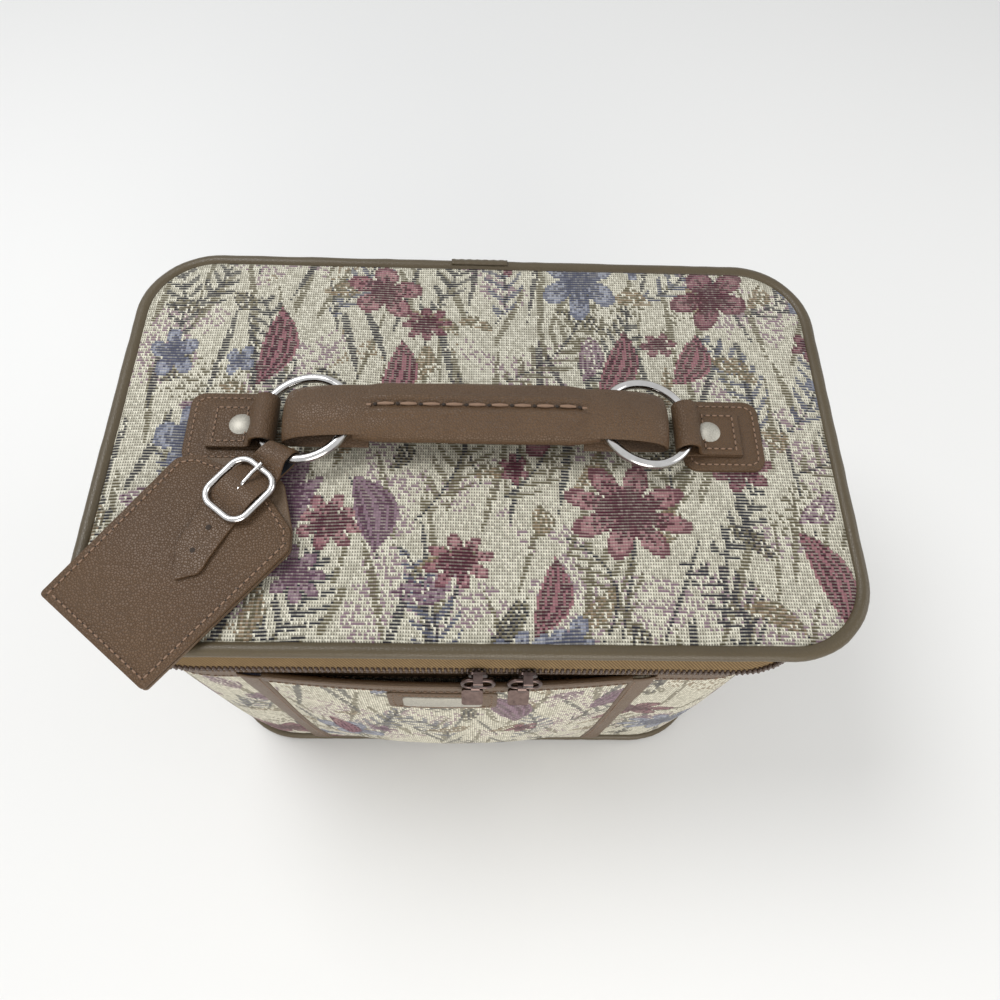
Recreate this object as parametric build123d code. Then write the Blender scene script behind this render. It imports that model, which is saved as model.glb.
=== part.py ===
# Soft-sided cosmetic train case in tapestry cloth with vinyl trim.
# Millimetres. The origin is the middle of the flat underside, +Z is up and the front faces -Y.
import os
from math import atan2, cos, hypot, radians, sin

from build123d import *

os.makedirs("parts", exist_ok=True)

# Body
BODY_W = 305.0
BODY_D = 196.0
BODY_CORNER = 44.0
COVER_T = 1.6
BOARD_T = 3.0
LINING_T = 0.8
BASE_T = 4.0
PIPING_R = 3.2
BASE_PIPING_Z = 4.6
BINDING_H = 11.0
BINDING_T = 0.9

# Lid, set a little to the right of the body and behind it, as the soft case leans
LID_OVERHANG_W = 35.0
LID_OVERHANG_D = 14.0
LID_CORNER = 38.0
LID_X = 5.0
LID_Y = 5.0
LID_PIPING_Z = 219.0
LID_PIPING_R = 3.25
LID_TOP_RISE = 2.0
LID_COVER_T = 1.4
LID_FOAM_T = 2.6
LID_BOARD_T = 2.6
LID_BOARD_INSET = 6.0
LID_EDGE_ROUND = 0.9
SLEEVE_LENGTH = 29.0
SLEEVE_T = 0.9

# Zip between them, which stands out a little from the wall
ZIP_FLARE_W = 11.0
ZIP_FLARE_D = 7.0
ZIP_CORNER = 42.0
ZIP_X = 2.5
ZIP_Y = 0.25
ZIP_DROP = 15.0
WALL_DROP = 13.0
TAPE_T = 1.0
ROW_H = 2.1
ROW_T = 2.6
ROW_GAP = 1.5
ZIP_END_IN = 32.0
ZIP_END_GAP = 0.5

# Front pocket
POCKET_W = 184.0
POCKET_X = -6.0
POCKET_BELOW_TOP = 1.0
POCKET_FOOT = 9.0
POCKET_T = 1.8
POCKET_EDGE = 1.6
POCKET_FOOT_BULGE = 2.4
POCKET_LOW_BULGE = 12.5
POCKET_MID_BULGE = 15.0
POCKET_HIGH_BULGE = 11.5
POCKET_MOUTH_BULGE = 10.4
POCKET_BINDING_W = 11.0
POCKET_BINDING_T = 1.0
MOUTH_BINDING_H = 8.0
PATCH_W = 50.0
PATCH_H = 21.0
PATCH_X = -9.0
PATCH_DOWN = 19.0
PLATE_W = 36.0
PLATE_H = 12.0
PLATE_T = 0.8

# Handle tabs on the lid
TAB_EYE_X = 95.6
TAB_PATCH_FROM = 95.0
TAB_PATCH_TO = 132.5
TAB_PATCH_H = 37.0
TAB_PATCH_T = 1.8
TAB_PATCH_CORNER = 8.0
TAB_PATCH_TAPER = 1.5
TAB_PATCH_TAPER_L = 8.0
TAB_STRAP_W = 23.5
TAB_STRAP_T = 1.4
TAB_STRAP_END = 121.5
TAB_EYE_R = 4.5
RIVET_X = 107.0
RIVET_CAP_R = 5.3
RIVET_CAP_H = 1.7
RIVET_SHANK_R = 1.6
RIVET_HOLE_L = 60.0
WASHER_T = 1.2
WASHER_R = 4.3

# Rings
RING_R = 21.0
RING_WIRE_R = 2.15
RING_PIVOT_IN = 2.0
RING_REST_TILT = 10.0
RING_CLEARANCE = 0.3

# Handle
HANDLE_END_IN = 9.4
HANDLE_W = 25.4
HANDLE_STRAP_T = 1.5
HANDLE_ARCH_R = 20.0
GRIP_W = 29.5
GRIP_H = 15.0
GRIP_Z = 18.7
GRIP_HALF = 45.0
GRIP_END = 52.5
CORE_T = 1.6
LOOP_START_GAP = 0.8
LOOP_LAP = 1.0
LOOP_TURN = 4.0
LOOP_NOSE_Z = 1.4
LOOP_BROW_IN = 1.6
LOOP_BROW_Z = 5.2
LOOP_CREST_IN = 8.0
LOOP_CREST_Z = 8.6
LOOP_BACK_IN = 19.0
LOOP_BACK_Z = 10.7
LOOP_ROOT_Z = 11.2

# Luggage tag, lying across the front left corner of the lid
TAG_L = 83.0
TAG_W_BOTTOM = 62.0
TAG_W_TOP = 69.0
TAG_NECK_L = 97.0
TAG_NECK_W = 19.0
TAG_T = 1.3
TAG_FILL = 1.3
TAG_CORNER = 2.5
TAG_SHOULDER_L = 7.0
TAG_SHOULDER_W = 6.0
TAG_NECK_FRONT = 5.0
TAG_GAP = 0.05
TAG_CLEAR = 0.2
CARD_T = 0.6
CARD_MARGIN = 7.0
TAG_BOTTOM_X = -151.0
TAG_BOTTOM_Y = -100.5
TAG_RISE = 2.0
TAG_STRAP_W = 14.0
TAG_FOLD_W = 12.5
TAG_FOLD = 4.9
TAG_STRAP_T = 1.2
BUCKLE_L = 28.0
BUCKLE_W = 25.0
BUCKLE_WIRE_R = 1.45
BUCKLE_CORNER = 8.0
BUCKLE_BAR_R = 1.1
BUCKLE_AT = 82.0
BUCKLE_PLAY = 0.4
TAG_SKEW = 15.0
TAG_RING_TURN = 28.0
TAG_LOOP_PLAY = 1.5
PRONG_R = 0.8
PRONG_PLAY = 0.15
PRONG_BEND_R = 1.4
STRAP_ROOT_IN = 22.0
STRAP_TIP_IN = 44.0
STRAP_TIP_L = 6.0

# Sliders and pulls
SLIDER_LEFT_X = 7.0
SLIDER_RIGHT_X = 28.0
SLIDER_L = 8.0
SLIDER_H = 6.4
SLIDER_PLATE_T = 1.1
SLIDER_PLAY = 0.35
SLIDER_NECK_L = 2.6
SLIDER_NECK_H = 0.8
SLIDER_CORNER = 2.0
LUG_L = 4.0
LUG_H = 5.6
LUG_REACH = 4.4
LUG_BAR = 1.2
LUG_ROUND = 1.0
LINK_W = 15.0
LINK_H = 8.6
LINK_R = 0.9
LINK_LEAN = 12.0
LINK_LEFT_SHIFT = 0.0
LINK_RIGHT_SHIFT = -1.1
PULL_W = 9.2
PULL_H = 9.5
PULL_T = 1.5
PULL_CORNER = 1.4
PULL_RIM = 1.2
PULL_SUNK = 0.4
PULL_LEAN = 30.0
PULL_SHIFT = -2.4
PULL_EYE_L = 3.6
PULL_EYE_T = 0.9
PULL_EYE_SHIFT = -1.1
PULL_EYE_PLAY = 0.35

# Inside
MIRROR_W = 150.0
MIRROR_D = 95.0
MIRROR_T = 2.0
MIRROR_FRAME_W = 9.0
MIRROR_FRAME_T = 2.8
MIRROR_CORNER = 6.0
MIRROR_LAP = 3.0
LOOP_BAND_H = 38.0
LOOP_BAND_DOWN = 61.0
LOOP_BAND_END = 4.0
LOOP_BAND_T = 1.4
BRUSH_LOOPS = 4
BRUSH_LOOP_W = 38.0
BRUSH_LOOP_PITCH = 48.0
BRUSH_LOOP_REACH = 11.0

# Worked out from the sizes above
LID_W = BODY_W + LID_OVERHANG_W
LID_D = BODY_D + LID_OVERHANG_D
ZIP_W = BODY_W + ZIP_FLARE_W
ZIP_D = BODY_D + ZIP_FLARE_D
ZIP_END_Y = BODY_D / 2 - ZIP_END_IN
ZIP_Z = LID_PIPING_Z - ZIP_DROP
BODY_TOP = ZIP_Z - WALL_DROP
POCKET_TOP = BODY_TOP - POCKET_BELOW_TOP
PATCH_Z = POCKET_TOP - PATCH_DOWN
LOOP_BAND_Z = BODY_TOP - LOOP_BAND_DOWN - LOOP_BAND_H
HANDLE_HALF = TAB_EYE_X - HANDLE_END_IN
LID_TOP = LID_PIPING_Z + LID_TOP_RISE
LID_SEAM_W = LID_W - 2 * LID_PIPING_R
LID_SEAM_D = LID_D - 2 * LID_PIPING_R
LID_SEAM_CORNER = LID_CORNER - LID_PIPING_R
LID_BOARD_TOP = LID_TOP - LID_COVER_T - LID_FOAM_T
LID_UNDER = LID_BOARD_TOP - LID_BOARD_T
LID_LINING_UNDER = LID_UNDER - LINING_T
WALL_T = COVER_T + BOARD_T + LINING_T
TAB_EYE_OUT = TAB_EYE_R + TAB_STRAP_T
TAB_PATCH_TOP = LID_TOP + TAB_PATCH_T
PIVOT_Z = TAB_PATCH_TOP + TAB_EYE_OUT
RING_CENTRE_IN = RING_R - RING_PIVOT_IN
RING_FAR_IN = 2 * RING_R - RING_PIVOT_IN
WALL_FRONT = -BODY_D / 2


def write(name, shape):
    """Saves one piece as its own file."""
    shape.label = name
    export_step(shape, f"parts/{name}.step")


def rounded_prism(width, depth, corner, low, high, x=0.0, y=0.0):
    """An upright block with rounded corners, from height low to height high."""
    outline = Plane.XY.offset(low) * Pos(x, y) * RectangleRounded(width, depth, corner)
    return extrude(outline, amount=high - low)


def band(lower, upper, thickness):
    """A thin wall between two rounded outlines, each given as (width, depth, corner, x, y, z)."""
    def block(inset):
        faces = [
            Plane.XY.offset(z) * Pos(x, y) * RectangleRounded(w - 2 * inset, d - 2 * inset, r - inset)
            for w, d, r, x, y, z in (lower, upper)
        ]
        return loft(faces, ruled=True)
    return block(0.0) - block(thickness)


def piping(width, depth, corner, radius, z, x=0.0, y=0.0):
    """A round cord that runs all round a rounded outline."""
    path = Plane.XY.offset(z) * Pos(x, y) * RectangleRounded(width, depth, corner).wire()
    start = path @ 0
    section = Plane(origin=start, z_dir=path % 0) * Circle(radius)
    return sweep(section, path=path)


def upright_plate(width, height, corner, thickness, x, front, z):
    """A rounded plate that stands facing -Y, with its front face at front."""
    face = Plane(origin=(x, front + thickness, z), x_dir=(1, 0, 0), z_dir=(0, -1, 0))
    return extrude(face * RectangleRounded(width, height, corner), amount=thickness)


def stadium_ring(width, height, wire_r, plane):
    """A closed link of round wire with straight long sides and round ends."""
    path = plane * SlotOverall(width - 2 * wire_r, height - 2 * wire_r).wire()
    section = Plane(origin=path @ 0, z_dir=path % 0) * Circle(wire_r)
    return sweep(section, path=path)


# Body: base, walls and bindings
def make_body():
    base = rounded_prism(BODY_W, BODY_D, BODY_CORNER, 0.0, BASE_T)
    cord = piping(BODY_W, BODY_D, BODY_CORNER, PIPING_R, BASE_PIPING_Z)
    cover = rounded_prism(BODY_W, BODY_D, BODY_CORNER, BASE_T, BODY_TOP)
    board_space = (BODY_W - 2 * COVER_T, BODY_D - 2 * COVER_T, BODY_CORNER - COVER_T)
    cover -= rounded_prism(*board_space, BASE_T, BODY_TOP)
    cover -= cord
    base -= cord
    lining_inset = COVER_T + BOARD_T
    lining_space = (BODY_W - 2 * lining_inset, BODY_D - 2 * lining_inset, BODY_CORNER - lining_inset)
    board = rounded_prism(*board_space, BASE_T, BODY_TOP)
    board -= rounded_prism(*lining_space, BASE_T, BODY_TOP)
    board -= cord
    lining = rounded_prism(*lining_space, BASE_T, BODY_TOP)
    inside = (BODY_W - 2 * WALL_T, BODY_D - 2 * WALL_T, BODY_CORNER - WALL_T)
    lining -= rounded_prism(*inside, BASE_T + LINING_T, BODY_TOP)
    binding = rounded_prism(
        BODY_W + 2 * BINDING_T, BODY_D + 2 * BINDING_T, BODY_CORNER + BINDING_T,
        BODY_TOP - BINDING_H, BODY_TOP,
    )
    binding -= rounded_prism(BODY_W, BODY_D, BODY_CORNER, BODY_TOP - BINDING_H, BODY_TOP)
    write("base_panel", base)
    write("base_piping", cord)
    write("body_cover", cover)
    write("body_board", board)
    write("body_lining", lining)
    return binding


# Front pocket: a bulging panel between two bindings
def pocket_block(grow, low, high, side_inset=0.0):
    """The pocket's swollen shape, grown outwards by grow, from height low to height high."""
    half = POCKET_W / 2 - side_inset + grow
    middle = (low + high) / 2
    quarter = (high - low) / 4
    levels = (
        (low, POCKET_FOOT_BULGE),
        (middle - quarter, POCKET_LOW_BULGE),
        (middle, POCKET_MID_BULGE),
        (middle + quarter, POCKET_HIGH_BULGE),
        (high, POCKET_MOUTH_BULGE),
    )
    edge = max(POCKET_EDGE + grow, 0.0)
    faces = []
    for height, bulge in levels:
        left = (POCKET_X - half, WALL_FRONT)
        right = (POCKET_X + half, WALL_FRONT)
        left_edge = (left[0], WALL_FRONT - edge)
        right_edge = (right[0], WALL_FRONT - edge)
        crown = (POCKET_X, WALL_FRONT - bulge - grow)
        outline = Line(left, right) + ThreePointArc(right_edge, crown, left_edge)
        if edge > 0:
            outline += Line(right, right_edge) + Line(left_edge, left)
        faces.append(Plane.XY.offset(height) * make_face(outline))
    return loft(faces)


def pocket_window(x, width, low, high):
    """A block that picks out a part of the pocket's skin."""
    reach = 4 * POCKET_MID_BULGE
    align = (Align.CENTER, Align.CENTER, Align.MIN)
    return Pos(x, WALL_FRONT, low) * Box(width, reach, high - low, align=align)


def make_pocket(binding):
    foot = POCKET_FOOT
    full = pocket_block(0.0, foot, POCKET_TOP)
    side_inset = POCKET_BINDING_W - POCKET_T
    hollow = pocket_block(-POCKET_T, foot + POCKET_T, POCKET_TOP + POCKET_T, side_inset)
    swollen = pocket_block(POCKET_BINDING_T, foot, POCKET_TOP)
    skin = swollen - full
    inner_half = POCKET_W / 2 - POCKET_BINDING_W
    strip_w = POCKET_BINDING_W + POCKET_BINDING_T
    strip_x = inner_half + strip_w / 2
    mouth_low = POCKET_TOP - MOUTH_BINDING_H
    patch_low = PATCH_Z - PATCH_H / 2
    plate_skin = pocket_block(POCKET_BINDING_T + PLATE_T, foot, POCKET_TOP) - swollen
    plate_low = PATCH_Z - PLATE_H / 2
    pieces = {
        "pocket_panel": full - hollow,
        "pocket_binding_left": skin & pocket_window(POCKET_X - strip_x, strip_w, foot, POCKET_TOP),
        "pocket_binding_right": skin & pocket_window(POCKET_X + strip_x, strip_w, foot, POCKET_TOP),
        "pocket_mouth_binding": skin & pocket_window(POCKET_X, 2 * inner_half, mouth_low, POCKET_TOP),
        "pocket_patch": skin & pocket_window(PATCH_X, PATCH_W, patch_low, patch_low + PATCH_H),
        "pocket_plate": plate_skin & pocket_window(PATCH_X, PLATE_W, plate_low, plate_low + PLATE_H),
        "body_top_binding": binding - (full - hollow) - skin,
    }
    for name, shape in pieces.items():
        write(name, shape)


# Lid: a padded panel with a piped edge
def rivet_hole(side, radius):
    return Pos(LID_X + side * RIVET_X, LID_Y, LID_TOP) * Cylinder(radius, RIVET_HOLE_L)


def make_lid():
    def layer(low, high, inset=0.0):
        block = rounded_prism(
            LID_SEAM_W - 2 * inset, LID_SEAM_D - 2 * inset, LID_SEAM_CORNER - inset, low, high, LID_X, LID_Y
        )
        for side in (-1, 1):
            block -= rivet_hole(side, RIVET_SHANK_R)
        return block

    cord = piping(LID_SEAM_W, LID_SEAM_D, LID_SEAM_CORNER, LID_PIPING_R, LID_PIPING_Z, LID_X, LID_Y)
    cover_foot = LID_TOP - LID_COVER_T
    cover = layer(cover_foot, LID_TOP)
    cover = fillet(cover.faces().sort_by(Axis.Z)[-1].outer_wire().edges(), LID_EDGE_ROUND) - cord
    foam = layer(LID_BOARD_TOP, cover_foot, LID_BOARD_INSET) - cord
    board = layer(LID_UNDER, LID_BOARD_TOP, LID_BOARD_INSET) - cord
    lining = layer(LID_LINING_UNDER, LID_UNDER, LID_BOARD_INSET)
    for side in (-1, 1):
        lining -= rivet_hole(side, RIVET_CAP_R)
    back = LID_Y + LID_SEAM_D / 2
    along = Plane(origin=(LID_X, back, LID_PIPING_Z), z_dir=(1, 0, 0))
    tube = extrude(along * Circle(LID_PIPING_R + SLEEVE_T), amount=SLEEVE_LENGTH / 2, both=True)
    sleeve = tube - extrude(along * Circle(LID_PIPING_R), amount=SLEEVE_LENGTH, both=True)
    sleeve &= Pos(LID_X, back, LID_PIPING_Z) * Box(
        SLEEVE_LENGTH, 4 * LID_PIPING_R, 4 * LID_PIPING_R, align=(Align.CENTER, Align.MIN, Align.CENTER)
    )
    write("lid_piping", cord)
    write("lid_cover", cover)
    write("lid_foam", foam)
    write("lid_board", board)
    write("lid_lining", lining)
    write("piping_sleeve", sleeve)


def make_mirror():
    under = LID_LINING_UNDER
    place = Plane.XY.offset(under - MIRROR_FRAME_T) * Pos(LID_X, LID_Y)
    outer_w = MIRROR_W + 2 * MIRROR_FRAME_W
    outer_d = MIRROR_D + 2 * MIRROR_FRAME_W
    frame_corner = MIRROR_CORNER + MIRROR_FRAME_W
    frame = extrude(place * RectangleRounded(outer_w, outer_d, frame_corner), amount=MIRROR_FRAME_T)
    seen_w = MIRROR_W - 2 * MIRROR_LAP
    seen_d = MIRROR_D - 2 * MIRROR_LAP
    window = place * RectangleRounded(seen_w, seen_d, MIRROR_CORNER - MIRROR_LAP / 2)
    frame -= extrude(window, amount=MIRROR_FRAME_T)
    seat = Plane.XY.offset(under - MIRROR_T) * Pos(LID_X, LID_Y)
    glass = extrude(seat * RectangleRounded(MIRROR_W, MIRROR_D, MIRROR_CORNER), amount=MIRROR_T)
    write("mirror", glass)
    write("mirror_frame", frame - glass)


# Zip: tapes, rows of teeth and the hinge strip that takes their place at the back
def outlines():
    under_piping = LID_PIPING_Z - LID_PIPING_R
    seam = (LID_SEAM_W - 2.0, LID_SEAM_D - 2.0, LID_SEAM_CORNER - 1.0, LID_X, LID_Y, under_piping)
    lower_seam = (BODY_W, BODY_D, BODY_CORNER, 0.0, 0.0, BODY_TOP)
    def zip_line(dz):
        return (ZIP_W, ZIP_D, ZIP_CORNER, ZIP_X, ZIP_Y, ZIP_Z + dz)
    return seam, lower_seam, zip_line


def make_zip():
    seam, lower_seam, zip_line = outlines()
    half_gap = ROW_GAP / 2
    row_top = half_gap + ROW_H
    wide = 2 * ZIP_W
    tall = 4 * (ZIP_DROP + WALL_DROP)
    front_only = Pos(0, ZIP_END_Y - wide / 2, ZIP_Z) * Box(wide, wide, tall)
    back_only = Pos(0, ZIP_END_Y + ZIP_END_GAP + wide / 2, ZIP_Z) * Box(wide, wide, tall)
    def row(low, high):
        outer = ROW_T / 2 - TAPE_T / 2
        solid = (ZIP_W + 2 * outer, ZIP_D + 2 * outer, ZIP_CORNER + outer)
        inset = ROW_T / 2 + TAPE_T / 2
        hole = (ZIP_W - 2 * inset, ZIP_D - 2 * inset, ZIP_CORNER - inset)
        block = rounded_prism(*solid, low, high, ZIP_X, ZIP_Y)
        return (block - rounded_prism(*hole, low, high, ZIP_X, ZIP_Y)) & front_only
    write("zip_upper_teeth", row(ZIP_Z + half_gap, ZIP_Z + row_top))
    write("zip_lower_teeth", row(ZIP_Z - row_top, ZIP_Z - half_gap))
    write("zip_upper_tape", band(zip_line(row_top), seam, TAPE_T) & front_only)
    write("zip_lower_tape", band(lower_seam, zip_line(-row_top), TAPE_T) & front_only)
    write("hinge_strip", band(lower_seam, seam, TAPE_T) & back_only)


# Handle tabs: a stitched patch, a strap folded round the ring and a rivet
def tab_strap_profile():
    """Side view of the folded strap from its eye's centre: a round eye closed by two flat layers."""
    out = TAB_EYE_OUT
    end = TAB_STRAP_END - TAB_EYE_X
    layers = Pos(end / 2, -out + TAB_STRAP_T) * Rectangle(end, 2 * TAB_STRAP_T)
    neck = Pos(out / 2, -out / 2) * Rectangle(out, out)
    return layers + neck + Circle(out) - Circle(TAB_EYE_R)


def make_tab(side):
    name = "right" if side > 0 else "left"
    view = Plane(
        origin=(LID_X + side * TAB_EYE_X, LID_Y, PIVOT_Z), x_dir=(side, 0, 0), z_dir=(0, -side, 0)
    )
    strap = extrude(view * tab_strap_profile(), amount=TAB_STRAP_W / 2, both=True)
    write(f"tab_strap_{name}", strap - rivet_hole(side, RIVET_SHANK_R))

    near = side * TAB_PATCH_FROM
    far = side * TAB_PATCH_TO
    shoulder = near + side * TAB_PATCH_TAPER_L
    half = TAB_PATCH_H / 2
    narrow = half - TAB_PATCH_TAPER
    outline = Polyline(
        (near, -narrow), (shoulder, -half), (far, -half),
        (far, half), (shoulder, half), (near, narrow), close=True,
    )
    face = make_face(outline)
    outer_corners = face.vertices().sort_by(Axis((0, 0, 0), (side, 0, 0)))[-2:]
    face = fillet(outer_corners, TAB_PATCH_CORNER)
    patch = extrude(Plane.XY.offset(LID_TOP) * Pos(LID_X, LID_Y) * face, amount=TAB_PATCH_T)
    write(f"tab_patch_{name}", patch - rivet_hole(side, RIVET_SHANK_R))


def make_rivets():
    seat = TAB_PATCH_TOP + 2 * TAB_STRAP_T
    rivets = []
    for side in (-1, 1):
        x = LID_X + side * RIVET_X
        low = LID_UNDER - WASHER_T
        shank = Pos(x, LID_Y, low) * Cylinder(
            RIVET_SHANK_R, seat - low, align=(Align.CENTER, Align.CENTER, Align.MIN)
        )
        dome_r = (RIVET_CAP_R ** 2 + RIVET_CAP_H ** 2) / (2 * RIVET_CAP_H)
        cap = Pos(x, LID_Y, seat + RIVET_CAP_H - dome_r) * Sphere(dome_r)
        cap &= Pos(x, LID_Y, seat) * Cylinder(
            RIVET_CAP_R, RIVET_CAP_H, align=(Align.CENTER, Align.CENTER, Align.MIN)
        )
        washer = Pos(x, LID_Y, low) * Cylinder(
            WASHER_R, WASHER_T, align=(Align.CENTER, Align.CENTER, Align.MIN)
        )
        rivets.append((shank + cap + washer).solid())
    write("tab_rivets", Compound(children=rivets))


# Rings
def ring_place(side):
    """Centre of a ring at rest and its tilt, the inner side raised."""
    tilt = radians(RING_REST_TILT)
    x = LID_X + side * (TAB_EYE_X - RING_CENTRE_IN * cos(tilt))
    return (x, LID_Y, PIVOT_Z + RING_CENTRE_IN * sin(tilt)), side * RING_REST_TILT


def make_ring(side):
    centre, tilt = ring_place(side)
    return Pos(*centre) * Rot(0, tilt, 0) * Torus(RING_R, RING_WIRE_R)


# Handle: a padded grip whose strap ends loop round the rings
def handle_side(depth, start_x):
    """Side view of a loop on the right, depth inside its outer skin: underside, fold and top."""
    end_x = HANDLE_HALF - depth
    nose = (end_x, EYE_LOW + LOOP_NOSE_Z + depth / 3)
    low = (HANDLE_HALF - LOOP_TURN - 0.4 * depth, EYE_LOW - HANDLE_STRAP_T + depth)
    brow = (end_x - LOOP_BROW_IN + 0.13 * depth, EYE_LOW + LOOP_BROW_Z - 0.4 * depth)
    crest = (HANDLE_HALF - LOOP_CREST_IN - 0.2 * depth, EYE_LOW + LOOP_CREST_Z - depth)
    back = (HANDLE_HALF - LOOP_BACK_IN - 0.13 * depth, EYE_LOW + LOOP_BACK_Z - 1.07 * depth)
    start = (start_x, EYE_LOW + LOOP_ROOT_Z - 1.13 * depth)
    top = Spline([nose, brow, crest, back, start], tangents=[(0, 1), (-1, 0)])
    corner = (nose[0] - 0.29 * (nose[0] - low[0]), nose[1] - 0.71 * (nose[1] - low[1]))
    turn = ThreePointArc(low, corner, nose)
    under = Line((start_x, low[1]), low)
    return make_face(under + turn + top + Line(start, (start_x, low[1])))


def arched(face, side):
    """Turns a side view about a line below the handle, so the strap droops to both edges."""
    hinge = Axis((LID_X, LID_Y, ARCH_Z), (1, 0, 0))
    placed = Plane(origin=(LID_X, LID_Y, LID_PIPING_Z), x_dir=(1, 0, 0), z_dir=(0, -1, 0)) * face
    swung = placed.rotate(hinge, -60)
    solid = revolve(swung, axis=hinge, revolution_arc=120)
    keep = Pos(LID_X, LID_Y, LID_PIPING_Z + EYE_LOW) * Box(4 * HANDLE_HALF, HANDLE_W, 4 * HANDLE_ARCH_R)
    solid = solid & keep
    return solid if side > 0 else mirror(solid, about=Plane(origin=(LID_X, 0, 0), z_dir=(1, 0, 0)))


FAR_WIRE_Z = PIVOT_Z - LID_PIPING_Z + RING_FAR_IN * sin(radians(RING_REST_TILT))
EYE_LOW = FAR_WIRE_Z - RING_WIRE_R - RING_CLEARANCE
ARCH_Z = LID_PIPING_Z + EYE_LOW - HANDLE_ARCH_R


def make_handle():
    outer = handle_side(0.0, GRIP_HALF - LOOP_LAP)
    inner = handle_side(HANDLE_STRAP_T, GRIP_END + LOOP_START_GAP)
    grip = GRIP_Z + LID_PIPING_Z
    across = Plane(origin=(LID_X, LID_Y, grip), x_dir=(0, 1, 0), z_dir=(1, 0, 0))
    tube = extrude(across * Ellipse(GRIP_W / 2, GRIP_H / 2), amount=GRIP_HALF, both=True)
    cover = tube
    for side in (-1, 1):
        taper = loft([
            across.offset(side * GRIP_HALF) * Ellipse(GRIP_W / 2, GRIP_H / 2),
            across.offset(side * GRIP_END) * Ellipse(HANDLE_W / 2 - 0.6, GRIP_H / 2 - 2.2),
        ])
        loop = arched(outer, side) - arched(inner, side)
        cover = cover + taper + loop
    core_face = across * Ellipse(GRIP_W / 2 - CORE_T, GRIP_H / 2 - CORE_T)
    core = extrude(core_face, amount=GRIP_HALF - CORE_T, both=True)
    write("handle_cover", (cover - core).solid())
    write("handle_core", core)


# Luggage tag
def ring_foot():
    """Where the tag's strap passes round the left ring, in the middle of the wire."""
    ring = ring_place(-1)[0]
    tilt = radians(RING_REST_TILT)
    turn = radians(TAG_RING_TURN)
    along = -RING_R * sin(turn)
    return ring[0] + along * cos(tilt), ring[1] - RING_R * cos(turn), ring[2] + along * sin(tilt)


def tag_frame():
    """The tag's own plane: X runs from its bottom edge towards the ring, Z stands on its underside."""
    target = ring_foot()
    bottom = (LID_X + TAG_BOTTOM_X, LID_Y + TAG_BOTTOM_Y)
    heading = atan2(target[1] - bottom[1], target[0] - bottom[0])
    length = hypot(target[0] - bottom[0], target[1] - bottom[1])
    rise = radians(TAG_RISE)
    x_dir = (cos(heading) * cos(rise), sin(heading) * cos(rise), sin(rise))
    z_dir = (-cos(heading) * sin(rise), -sin(heading) * sin(rise), cos(rise))
    low = LID_PIPING_Z + LID_PIPING_R + TAG_CLEAR
    return Plane(origin=(*bottom, low), x_dir=x_dir, z_dir=z_dir), length


def tag_outline(length, neck):
    """Flat outline of a tag panel, narrow at the ring end."""
    half = TAG_W_BOTTOM / 2
    wide = TAG_W_TOP / 2
    narrow = TAG_NECK_W / 2
    outline = Polyline(
        (0, -half), (length - TAG_SHOULDER_L, -wide), (length, -wide + TAG_SHOULDER_W),
        (neck, -narrow), (neck, narrow), (length, wide - TAG_SHOULDER_W),
        (length - TAG_SHOULDER_L, wide), (0, half), close=True,
    )
    face = make_face(outline)
    return fillet(face.vertices().group_by(Axis.X)[0], TAG_CORNER)


def ribbon(stations, thickness):
    """A strap through stations of (centre, across, normal, width), straight from each to the next."""
    faces = []
    for centre, across, normal, width in stations:
        x_dir = Vector(*across).normalized()
        plane = Plane(origin=centre, x_dir=x_dir, z_dir=x_dir.cross(Vector(*normal)))
        faces.append(plane * Rectangle(width, thickness))
    return loft(faces, ruled=True)


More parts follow.
